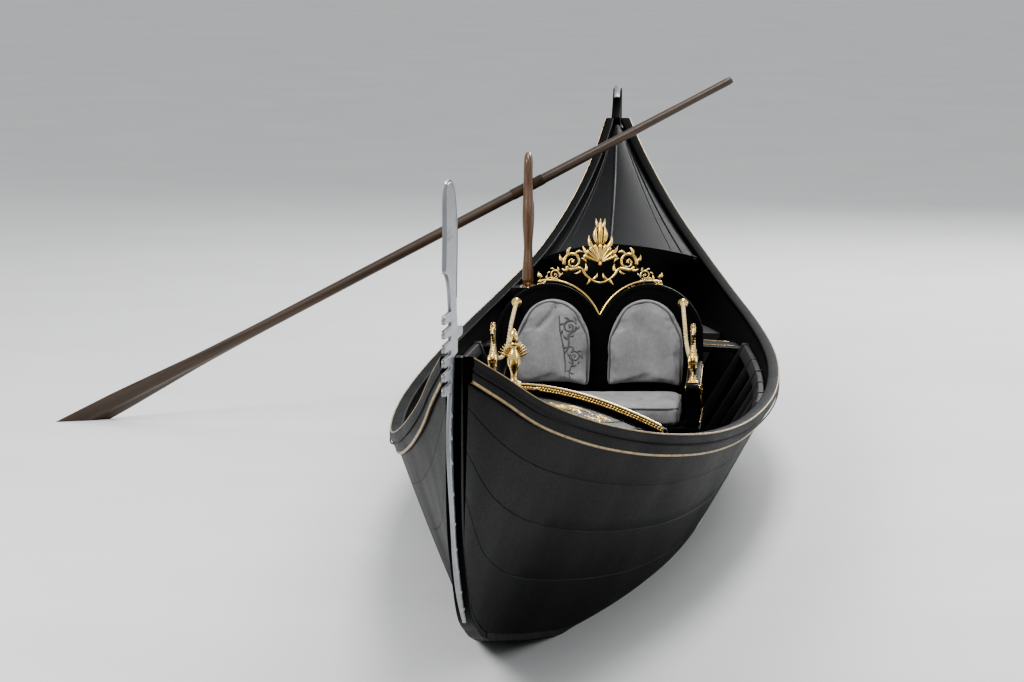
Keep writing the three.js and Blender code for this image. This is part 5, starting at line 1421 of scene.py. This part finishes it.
PILE2 = cloth("carpet_border", (0.09, 0.08, 0.06), (0.2, 0.18, 0.13), scale=520, sheen=0.25, fold=6, bump=0.9)
carpet = make("carpet_runner", p, "hull", [PILE, PILE2], ["floor_carpet"], angle=50)
p = Piece()
for i, (x, way) in enumerate(((cx0, -1), (cx0 + cl, 1))):
    for k in range(74):
        y = cy0 + 0.004 + (cw - 0.008) * k / 73
        j1, j2 = noise.noise(Vector((y * 40, i * 3.0, 0.1))), noise.noise(Vector((y * 55, i * 7.0, 2.1)))
        p.add(tube([(x - way * 0.004, y, FLOOR_Z + 0.004), (x + way * 0.008, y + j1 * 0.003, FLOOR_Z + 0.0042), (x + way * 0.02, y + j1 * 0.006, FLOOR_Z + 0.0026), (x + way * (0.031 + 0.003 * j2), y + j1 * 0.008 + j2 * 0.003, FLOOR_Z + 0.0017)], [0.0017, 0.0015, 0.0015, 0.0011], 6))
fringe = make("carpet_fringe", p, "hull", [PILE2], angle=180)


# ------------------------------------------------------------------ bow iron
hat = flat2(catmull([(-0.1, 1.632), (-0.122, 1.628), (-0.138, 1.612), (-0.149, 1.56), (-0.15, 1.47), (-0.1555, 1.405), (-0.157, 1.384)], 5))
throat = flat2(catmull([(-0.15, 1.3755), (-0.12, 1.371), (-0.08, 1.348), (-0.052, 1.312), (-0.042, 1.278)], 6))
teeth = []
for i in range(6):
    z = 1.262 - i * 0.04
    teeth += [(-0.0335, z + 0.0025), (-0.037, z - 0.0002)]
    teeth += [(-0.155, z - 0.0015)] + [(-0.161 - 0.012 * math.sin(a), z - 0.0135 + 0.012 * math.cos(a)) for a in span(0, math.pi, 9)] + [(-0.155, z - 0.0255)]
    teeth += [(-0.037, z - 0.0268), (-0.0335, z - 0.0295)]
band_f = flat2(catmull([(-0.0335, 1.034), (-0.045, 1.02), (-0.075, 0.94), (-0.084, 0.85), (-0.07, 0.74), (-0.03, 0.63), (0.04, 0.53), (0.14, 0.445), (0.27, 0.372), (0.4, 0.312)], 7))
band_b = [(s - 0.004, zk_(s) - 0.0048) for s in span(0.398, 0.14, 12)] + flat2(catmull([(0.094, 0.557), (0.0495, 0.607), (0.0145, 0.681), (-0.0035, 0.764), (-0.0055, 0.85), (0.0005, 0.952), (0.0145, 1.043), (0.037, 1.13)], 6))
behind = [(0.1, 1.133), (0.102, 1.166), (0.108, 1.1705), (0.195, 1.172)] + [(0.198 + 0.0135 * math.sin(a), 1.186 - 0.0135 * math.cos(a)) for a in span(0.15, math.pi - 0.15, 8)] + [(0.195, 1.2), (0.104, 1.2045), (0.0985, 1.209)]
spine = flat2(catmull([(0.0985, 1.209), (0.08, 1.27), (0.0895, 1.34), (0.1, 1.4), (0.105, 1.44), (0.1, 1.5), (0.075, 1.565), (0.03, 1.61), (-0.04, 1.632)], 6))[1:]
outline = hat + throat + teeth + band_f + band_b + behind + spine
def sliced(shape, heights):
    """Cuts a form's faces along level lines, so that it bends evenly."""
    bm = bmesh.new()
    vs = [bm.verts.new(q) for q in shape[0]]
    for q in shape[1]:
        bm.faces.new([vs[i] for i in q])
    for z in heights:
        bmesh.ops.bisect_plane(bm, geom=bm.verts[:] + bm.edges[:] + bm.faces[:], dist=1e-5, plane_co=(0, 0, z), plane_no=(0, 0, 1))
    bm.verts.index_update()
    out = [tuple(q.co) for q in bm.verts], [tuple(w.index for w in q.verts) for q in bm.faces]
    bm.free()
    return out


p = Piece().add(sliced(plate_xz(outline, -0.005, 0.005, 0.0024, 2, 30), span(0.63, 1.62, 56)))
# bright bead round the hat and down the cutting edge
for y, k in ((-0.005, -1), (0.005, 1)):
    fp = lambda u, v, y=y, k=k: (Vector((u, y, v)), Vector((0, k, 0)))
    ctr = np.array([X(-0.03), 1.5])
    ln = []
    for s, z in spine[6:] + hat:
        q = np.array([X(s), z])
        q = q + (ctr - q) / np.linalg.norm(ctr - q) * 0.011
        ln.append((float(q[0]), float(q[1])))
    relief(p, [(ln, [0.0016] * len(ln))], fp, 0, 6, 0.8)
    cen = flat2(catmull([(-0.058, 0.99), (-0.074, 0.93), (-0.078, 0.85), (-0.062, 0.745), (-0.022, 0.64), (0.045, 0.543), (0.142, 0.46), (0.27, 0.386), (0.37, 0.335)], 8))
    mid_line = []
    bb = np.array([(X(a), b) for a, b in band_b])
    for s, z in cen:
        q = np.array([X(s), z])
        n_ = bb[np.argmin(np.hypot(*(bb - q).T))]
        mid_line.append(tuple(q * 0.5 + n_ * 0.5))
    for i, (u, v) in enumerate(mid_line):
        if i % 7 == 3:
            p.add(lathe([(0, -0.0005), (0.006, -0.0005), (0.0056, 0.0012), (0.0035, 0.0025), (0, 0.003)], 12, (u, y, v), Matrix.Rotation(-k * math.pi / 2, 3, "X")), 0)
# its head turns to starboard, along the hull's bent centreline
for i, q in enumerate(p.v):
    t = min(1, max(0, (q[2] - 0.62) / 0.34))
    p.v[i] = (q[0], q[1] + math.tan(math.radians(3)) * (X(0.1) - q[0]) * t * t * (3 - 2 * t), q[2])
make("bow_iron_forged", p, "hull", [STEEL], ["bow_iron"], angle=32)

# stern iron
pts = [Vector((X(s), z)) for s, z in flat2(catmull(TAIL, 6))[4:]]


def offset(pl, d):
    out = []
    for i, q in enumerate(pl):
        t = (pl[min(i + 1, len(pl) - 1)] - pl[max(i - 1, 0)]).normalized()
        out.append((q.x - t.y * d, q.y + t.x * d))
    return out


inner_, outer_ = offset(pts, 0.0012), offset(pts, 0.011)
inner_ = [(x, z) for x, z in inner_]
ring = outer_ + [(X(10.868), 1.346), (X(10.822), 1.348), (X(10.79), 1.3235), (X(10.757), 1.298), (X(10.759), 1.29), (X(10.793), 1.3145), (X(10.829), 1.3358), (X(10.8612), 1.332)] + inner_[:-1][::-1]
p = Piece().add(slab(ring, lambda a, b, t: (a, t, b), -0.015, 0.015, 0.002, 2, 35))
for i in range(4, len(pts) - 3, 5):
    q, r_ = Vector(outer_[i]), Vector(inner_[i])
    n_ = (q - r_).normalized()
    m3 = Vector((0, 0, 1)).rotation_difference(Vector((n_.x, 0, n_.y))).to_matrix()
    for yy in (-0.007, 0.007):
        p.add(lathe([(0, -0.0008), (0.0038, -0.0008), (0.0034, 0.0009), (0, 0.0018)], 10, (q.x, yy, q.y), m3))
make("stern_iron_forged", p, "hull", [STEEL], ["stern_iron"], angle=32)


# ------------------------------------------------------------------ rowlock and socket
def remeshed(shape, voxel, smooth, sub=0, factor=0.6):
    me = bpy.data.meshes.new("r")
    me.from_pydata([tuple(q) for q in shape[0]], [], [tuple(q) for q in shape[1]])
    bm = bmesh.new()
    bm.from_mesh(me)
    bmesh.ops.recalc_face_normals(bm, faces=bm.faces)
    bm.to_mesh(me)
    bm.free()
    o = bpy.data.objects.new("r", me)
    bpy.context.scene.collection.objects.link(o)
    r = o.modifiers.new("r", "REMESH")
    r.mode, r.voxel_size = "VOXEL", voxel
    s = o.modifiers.new("s", "SMOOTH")
    s.factor, s.iterations = factor, smooth
    if sub:
        u = o.modifiers.new("u", "SUBSURF")
        u.levels = u.render_levels = sub
    bpy.context.view_layer.update()
    m = bpy.data.meshes.new_from_object(o.evaluated_get(bpy.context.evaluated_depsgraph_get()))
    v = [tuple(q.co) for q in m.vertices]
    f = [tuple(q.vertices) for q in m.polygons]
    bpy.data.objects.remove(o)
    bpy.data.meshes.remove(me)
    bpy.data.meshes.remove(m)
    return v, f


FORK = [(-38, -110), (38, -110), (38, 26), (56, 40), (60, 90), (48, 150), (58, 215), (86, 270), (100, 325), (98, 352), (84, 366), (62, 372),
        (44, 386), (36, 410), (38, 440), (50, 462), (72, 474), (96, 484), (100, 505), (82, 535), (40, 552), (0, 548), (-24, 525),
        (-30, 484), (-26, 430), (-34, 380), (-46, 320), (-42, 250), (-40, 180), (-52, 110), (-56, 50), (-38, 26)]
fork = [(a, b if b <= 26 else 26 + (b - 26) * 1.15) for a, b in FORK]
blade = flat2(catmull(fork[3:-1], 5))
upper = [(38, 20)] + [(38, 26)] + blade + [(-38, 26), (-38, 20)]
# forward is -x in the outline, so it is turned about the shank
put = lambda a, b, t: (FX - a / 1000, FY + t, FZ + b / 1000)
v, f = remeshed(slab(upper, put, -0.0185, 0.0185, 0.0, 1), 0.0032, 9, 0, 0.7)
v = np.array(v)
cz = (v[:, 2] - FZ) * 1000
# the flanks swell at the elbow and thin out towards the tips, as a carver leaves them
swell = 1.12 + 0.16 * np.exp(-((cz - 330) / 70) ** 2) + 0.12 * np.exp(-((cz - 70) / 60) ** 2) - 0.16 * np.exp(-((cz - 200) / 60) ** 2) - 0.18 * np.clip((cz - 480) / 120, 0, 1)
v[:, 1] = FY + (v[:, 1] - FY) * np.where(cz > 26, swell, 1.0)
# its section is an oval: thinner towards the outline
rim_ = np.array(upper, float)
flat_ = np.stack([(FX - v[:, 0]) * 1000, cz], 1)
near_ = np.full(len(v), 1e9)
for a, b in zip(rim_, np.roll(rim_, -1, 0)):
    if max(a[1], b[1]) < 22:
        continue
    ab = b - a
    k = np.clip(((flat_ - a) @ ab) / max(ab @ ab, 1e-9), 0, 1)
    near_ = np.minimum(near_, np.linalg.norm(flat_ - (a + k[:, None] * ab), axis=1))
oval = 0.3 + 0.7 * np.sqrt(1 - (1 - np.clip(near_ / 30, 0, 1)) ** 2)
v[:, 1] = FY + (v[:, 1] - FY) * np.where(cz > 26, oval * 1.04, 1.0)
v, f = remeshed((v, f), 0.0026, 5, 0, 0.6)
p = Piece().add((v, f), 0)
p.add(block(FX - 0.0378, FX + 0.0378, FY - 0.0178, FY + 0.0178, FZ - 0.11, FZ + 0.03, 0.003, 2), 0)
make("forcola_carved", p, "forcola_post", [WALNUT], ["forcola"], angle=60)

z0, z1 = FZ - 0.14, FZ + CAP_T
p = Piece()


def wall(u, v_, t):
    """A point of the socket: what is at -1 across goes out to the cap's edge and the planking at that x."""
    s = (5.43 - t)
    if u > -0.9:
        return (t, FY + u, v_)
    top = -(breadth(s, zs_(s), -1) - CAP_IN - 0.0022)
    low = -(inside(s, z0, -1) - 0.0032)
    k = min(1, max(0, (v_ - z0) / (FZ - 0.03 - z0)))
    return (t, low + (top - low) * k - (u + 1), v_)


for a, b in ((-0.075, -0.0425), (0.0425, 0.075)):
    r = 0.0035
    sec = [(0.048, z0 + 0.03 + r), (0.048, z1 - r), (0.048 - r * 0.3, z1 - r * 0.3), (0.048 - r, z1), (-1 + 0.0, z1), (-1, FZ - 0.03), (-1, z0), (0.048 - r, z0 + 0.03 - 0.1 * r)]
    p.add(closed_loft([[wall(u, v_, t) for u, v_ in sec] for t in span(FX + a, FX + b, 4)]), 0)
p.add(slab([(FY + 0.0205, z0 + 0.022), (FY + 0.048, z0 + 0.03), (FY + 0.048, z1), (FY + 0.0205, z1)], lambda u, v_, t: (t, u, v_), FX - 0.0445, FX + 0.0445, 0.003, 2, 40))
p.add(closed_loft([[wall(u, v_, t) for u, v_ in ((-0.0205, z0 + 0.004), (-0.0205, z1), (-1, z1), (-1, FZ - 0.03), (-1, z0 + 0.0005))] for t in span(FX - 0.0445, FX + 0.0445, 6)]), 0)
for k in (-1, 1):  # brass wear plate round the slot
    p.add(block(FX - 0.058, FX + 0.058, FY + k * 0.0285 - 0.0065, FY + k * 0.0285 + 0.0065, z1 - 0.0005, z1 + 0.0022, 0.0009, 1), 1)
    p.add(block(FX + k * 0.0515 - 0.0065, FX + k * 0.0515 + 0.0065, FY - 0.0345, FY + 0.0345, z1 - 0.0005, z1 + 0.0021, 0.0009, 1), 1)
    for a in (-0.05, 0.05):
        p.add(lathe([(0, 0), (0.0032, 0), (0.0028, 0.001), (0, 0.0016)], 10, (FX + a, FY + k * 0.0285, z1 + 0.0016)), 1)
make("forcola_socket_block", p, "hull", [DECKBLACK, BRASS], ["forcola_socket"], angle=40)

# ------------------------------------------------------------------ the oar
D = Vector((0.24, -0.86, -0.447)).normalized()
NOTCH = Vector((FX - 0.088, FY, FZ + 0.472))
S_ = Vector((0, 0, 1)).cross(D).normalized()
U_ = D.cross(S_)
rows_ = [(-1060, 15, 15), (-1040, 18, 18), (-900, 17, 17), (-500, 20, 20), (0, 23, 23), (700, 24, 23), (1400, 26, 20), (1700, 36, 15), (2100, 62, 12), (2700, 74, 9), (3090, 76, 7), (3120, 66, 5)]
xs = np.array([r[0] for r in rows_], float)
turn = math.radians(60)
A_ = (Matrix.Rotation(turn, 3, D) @ S_)
B_ = (Matrix.Rotation(turn, 3, D) @ U_)
stn = sorted(set(list(np.linspace(-1060, -1030, 5)) + list(np.linspace(-1030, 1400, 60)) + list(np.linspace(1400, 3080, 56)) + list(np.linspace(3080, 3120, 7))))
ws, hs = np.array([r[1] for r in rows_], float), np.array([r[2] for r in rows_], float)


def smooth_at(x, y):
    q = np.interp([x - 60, x - 30, x, x + 30, x + 60], xs, y) if -980 < x < 3020 else np.interp([x], xs, y)
    return float(np.mean(q))


rings = []
for x in stn:
    w, h = smooth_at(x, ws) / 1000, smooth_at(x, hs) / 1000
    if x > 3095:
        w *= math.sqrt(max(0.02, 1 - ((x - 3095) / 27) ** 2)) * 0.35 + 0.65
    flatness = min(1, max(0, (x - 1400) / 500))
    ring = []
    for k in range(28):
        a = 2 * math.pi * k / 28
        c, s_ = math.cos(a), math.sin(a)
        hh = h * s_ * (1 + flatness * 0.75 * math.exp(-(c * w / 0.011) ** 2) * (1 if x < 2900 else max(0, 1 - (x - 2900) / 150)))
        ring.append(NOTCH + D * (x / 1000) + A_ * (w * c) + B_ * hh)
    rings.append(ring)
p = Piece().add(closed_loft(rings), 0)
LEATHER = cloth("greased_leather", (0.02, 0.012, 0.008), (0.06, 0.035, 0.02), scale=420, sheen=0.0, fold=14, bump=0.5, rough=0.5)
coll = []
for x in span(-70, 90, 12):
    w = smooth_at(x, ws) / 1000 + 0.0016 + (0.0007 if int(x / 14) % 2 else 0)
    coll.append([NOTCH + D * (x / 1000) + A_ * w * math.cos(2 * math.pi * k / 24) + B_ * w * math.sin(2 * math.pi * k / 24) for k in range(24)])
p.add(closed_loft(coll), 1)
make("oar_shaved", p, "oar_shaft", [OAR_WOOD_PAINTED_SHADE, LEATHER], ["oar"], angle=50)


# ------------------------------------------------------------------ brass sea horses on the sofa's arms
def seahorse(cx, cy, cz):
    p = Piece()
    P = lambda a, b, c=0.0: Vector((cx + a / 1000, cy + c / 1000, cz + b / 1000))
    # plinth
    p.add(block(cx - 0.046, cx + 0.046, cy - 0.022, cy + 0.022, cz, cz + 0.006, 0.0018, 2))
    p.add(block(cx - 0.036, cx + 0.036, cy - 0.018, cy + 0.018, cz + 0.005, cz + 0.0105, 0.0022, 2))
    p.add(lathe([(0, 0.009), (0.017, 0.009), (0.0185, 0.013), (0.0135, 0.018), (0.012, 0.023), (0.015, 0.027), (0, 0.03)], 20, (cx, cy, cz)))
    # body, neck and head in one sweep
    keys = [(0, 24, 11.5), (3, 40, 16), (8, 62, 24), (8, 88, 29), (-2, 114, 26), (-10, 136, 19.5), (-10, 158, 15.5), (-4, 180, 15.5), (8, 199, 17), (25, 208, 15), (42, 203, 10), (55, 197, 7.5), (62, 195, 7)]
    line = catmull([P(a, b) for a, b, r in keys], 6)
    rr = np.interp(np.linspace(0, len(keys) - 1, len(line)), range(len(keys)), [r / 1000 for a, b, r in keys])
    rings = []
    for i, (q, d, s_, u) in enumerate(frames_along(line, (0, 1, 0))):
        t = i / (len(line) - 1)
        ridge = 1 + (0.055 * math.cos(i * 2 * math.pi / 3.0) if 0.08 < t < 0.62 else 0)
        rings.append([q + s_ * rr[i] * ridge * math.cos(2 * math.pi * k / 18) + u * rr[i] * ridge * 0.62 * math.sin(2 * math.pi * k / 18) for k in range(18)])
    p.add(closed_loft(rings))
    # tail, curled up behind
    tail = spiral(-36, 52, 22, 1.35, -0.9, -1, 34, 0.2)
    tl = [P(2, 34), P(-6, 24), P(-16, 22)] + [P(a, b) for a, b in tail]
    p.add(tube(tl, [0.011, 0.0105, 0.01] + taper(len(tail), 0.0095, 0.0035), 12, 0.75, (0, 1, 0)))
    for i in range(3, len(tail), 3):
        a, b = tail[i]
        q = P(a, b)
        p.add(tube([q + Vector((0, -0.006, 0)), q + Vector((0, 0.006, 0))], 0.0026, 6))
    # mane and back fin
    for i in range(11):
        t = i / 10
        a, b = (-14 - 9 * math.sin(t * 3.1) - 14 * max(0, 0.4 - t), 226 - 128 * t)
        if i == 0:
            a = -2
        ang = math.pi - 0.9 + 1.5 * t
        pts_, w_ = leaf(a + 6, b, ang, 26 + 12 * math.sin(math.pi * t), 0.55, 5.2)
        p.add(tube([P(x, z) for x, z in pts_], [max(0.0008, q / 1000) for q in w_], 8, 0.8, (0, 1, 0)))
    # ears, muzzle, eyes
    for k in (-1, 1):
        p.add(tube([P(2, 210, k * 6), P(1, 224, k * 8), P(5, 238, k * 7)], [0.0042, 0.004, 0.0014], 8))
        p.add(lathe([(0, -0.0032), (0.0032, -0.0024), (0.0042, 0), (0.0032, 0.0024), (0, 0.0032)], 10, P(19, 211, k * 9.2)))
        p.add(tube([P(58, 197, k * 3.5), P(63, 199, k * 4.2)], [0.0024, 0.0018], 8))
        # forelegs
        p.add(tube([P(22, 98, k * 10), P(40, 104, k * 13), P(52, 92, k * 14), P(46, 74, k * 14), P(50, 64, k * 14)], [0.0088, 0.0075, 0.006, 0.0048, 0.0056], 10))
        # side fins
        for j in range(4):
            pts_, w_ = leaf(-6, 112 - j * 9, math.pi + 0.5 - j * 0.3, 32 - j * 3, -0.7, 4.2)
            p.add(tube([P(x, z, k * (15 + 5 * i_ / 8)) for i_, (x, z) in enumerate(pts_)], [max(0.0008, q / 1000) for q in w_], 7, 0.7, (0, 1, 0)))
    # cord eye
    ring = [P(-58 + 8 * math.cos(a), 112 + 8 * math.sin(a)) for a in span(0, 2 * math.pi, 20)]
    p.add(tube(ring, 0.0026, 8, round_ends=False))
    return p


for side, name in ((-1, "starboard"), (1, "port")):
    make("seahorse_" + name + "_cast", seahorse(X(5.955), SOFA_Y + side * 0.408, 0.3846), "hull", [BRASS], ["seahorse_" + name], angle=50)
    # a brass rose where the cord goes into the back, and a cap on its fore end
    q = Vector((_face - 0.0005, cord_at(_face + 0.013, side), _end))
    m3 = Matrix.Rotation(math.pi / 2 - math.radians(9), 3, "Y")
    p = Piece().add(lathe([(0, -0.002), (0.021, -0.002), (0.021, 0.002), (0.017, 0.0045), (0.0155, 0.0078), (0.0125, 0.0098), (0.0125, 0.0125), (0.0102, 0.0128), (0, 0.0128)], 24, q, m3))
    y = cord_at(_x0, side)
    a, b = Vector((CORD[0][0], y, CORD[0][1])), Vector((CORD[1][0], cord_at(CORD[1][0], side), CORD[1][1]))
    d = (b - a).normalized()
    m3 = Vector((0, 0, 1)).rotation_difference(d).to_matrix()
    p.add(lathe([(0, -0.017), (0.005, -0.0165), (0.0085, -0.013), (0.0105, -0.008), (0.0112, 0.002), (0.0115, 0.011), (0.0105, 0.0125), (0, 0.0125)], 20, a, m3))
    p.add(tube([a + Vector((0.012, 0, 0.004)), a + Vector((0.02, 0, 0.001)), Vector((X(5.955) - 0.058, y - side * 0.002, 0.3846 + 0.112))], 0.003, 8))
    make("cord_fittings_" + name, p, "hull", [BRASS], angle=40)

# ------------------------------------------------------------------ winged finial on the foredeck's edge
fl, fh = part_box("deck_figure")
FC = Vector(((fl[0] + fh[0]) / 2, (fl[1] + fh[1]) / 2, fl[2]))
fc = Vector((0, 0, 0))
p = Piece().add(lathe([(0, 0), (0.026, 0), (0.026, 0.004), (0.0235, 0.0075), (0.015, 0.0105), (0.0115, 0.015), (0.0095, 0.024), (0.0098, 0.034), (0.0135, 0.046), (0.0185, 0.06), (0.0202, 0.074), (0.0185, 0.087), (0.0128, 0.1), (0.0088, 0.108), (0.0078, 0.116), (0.0105, 0.119), (0.0105, 0.122), (0.0085, 0.125), (0.0118, 0.131), (0.0142, 0.14), (0.0138, 0.149), (0.0095, 0.159), (0.004, 0.1655), (0, 0.168)], 32, (0, 0, 0)))
for k in (-1, 1):
    for j in range(6):
        fc = Vector((0, 0, 0))
        pts_, w_ = leaf(k * 0.006, 0.084 + j * 0.0042, (0.1 + j * 0.16) if k > 0 else math.pi - (0.1 + j * 0.16), 0.052 - 0.004 * j, k * 0.45, 0.0042)
        p.add(tube([fc + Vector((-0.004 + 0.002 * j, a, b)) for a, b in pts_], w_ if False else [max(0.0008, q) for q in w_], 8, 0.6, (1, 0, 0)))
for i in range(8):
    a = 2 * math.pi * i / 8
    p.add(tube([fc + Vector((0.0195 * math.cos(a) * s_, 0.0195 * math.sin(a) * s_, z)) for s_, z in ((0.72, 0.05), (0.98, 0.064), (1.02, 0.076), (0.86, 0.09))], [0.0012, 0.0022, 0.0022, 0.001], 6))
p.v = [(FC.x + a, FC.y + b, FC.z + c * 1.107) for a, b, c in p.v]
p.add(lathe([(0, -0.008), (0.029, -0.008), (0.03, -0.004), (0.0275, 0.0008), (0.0265, 0.002), (0, 0.002)], 32, FC))
make("deck_figure_cast", p, "hull", [BRASS], ["deck_figure"], angle=45)

# ------------------------------------------------------------------ a plain pale floor round the hull, at the waterline, z = 0
def waterline():
    pts = []
    for side, order in ((1, 1), (-1, -1)):
        row = []
        for s in span(0.3, 10.2, 240):
            if zk_(s) + 0.002 < 0:
                row.append((X(s), side * (breadth(s, 0.0, side) + 0.0015)))
        pts.append(row)
    return pts[0] + pts[1][::-1]


hole = waterline()
bm = bmesh.new()
R = 300.0
outer = [bm.verts.new((R * math.cos(2 * math.pi * k / 64), R * math.sin(2 * math.pi * k / 64), 0)) for k in range(64)]
inner = [bm.verts.new((x, y, 0)) for x, y in hole]
e = [bm.edges.new((outer[i], outer[(i + 1) % 64])) for i in range(64)] + [bm.edges.new((inner[i], inner[(i + 1) % len(inner)])) for i in range(len(inner))]
bmesh.ops.triangle_fill(bm, use_beauty=True, use_dissolve=False, edges=e)
me = bpy.data.meshes.new("floor")
bm.to_mesh(me)
bm.free()
if me.polygons and me.polygons[0].normal.z < 0:
    me.flip_normals()
m, t, b = _nodes("pale_floor")
v = _coords(t)
g = _noise(t, v, 0.9, 3)
t.links.new(_ramp(t, g, [(0.3, (0.66, 0.66, 0.655)), (0.7, (0.7, 0.7, 0.695))]), b.inputs["Base Color"])
b.inputs["Roughness"].default_value = 0.75
me.materials.append(m)
floor = bpy.data.objects.new("floor", me)
bpy.context.scene.collection.objects.link(floor)
floor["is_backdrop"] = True

bpy.context.scene.view_settings.look = "AgX - Medium High Contrast"
world = bpy.data.worlds.new("studio")
bpy.context.scene.world = world
world.use_nodes = True
world.node_tree.nodes["Background"].inputs["Color"].default_value = (0.86, 0.88, 0.9, 1)
world.node_tree.nodes["Background"].inputs["Strength"].default_value = 0.7
for nm, pos, aim, size, power in (
    ("key", (7.5, -6.5, 7.5), (0.5, 0, 0.4), (5, 4), 850),
    ("fill", (4.0, 9.0, 4.5), (0, 0, 0.4), (7, 3), 190),
    ("rim", (-11.0, 3.5, 6.5), (-1, 0, 0.5), (5, 4), 750),
    ("top", (-0.5, 0.5, 8.5), (-0.5, 0, 0.3), (9, 2.5), 500),
):
    l = bpy.data.lights.new(nm, "AREA")
    l.shape, l.size, l.size_y, l.energy = "RECTANGLE", size[0], size[1], power
    o = bpy.data.objects.new(nm, l)
    o.location = pos
    o.rotation_mode = "QUATERNION"
    o.rotation_quaternion = (Vector(aim) - Vector(pos)).to_track_quat("-Z", "Y")
    bpy.context.scene.collection.objects.link(o)

lo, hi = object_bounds()
{"cad": cad_box, "visual": [list(map(float, lo)), list(map(float, hi))]}
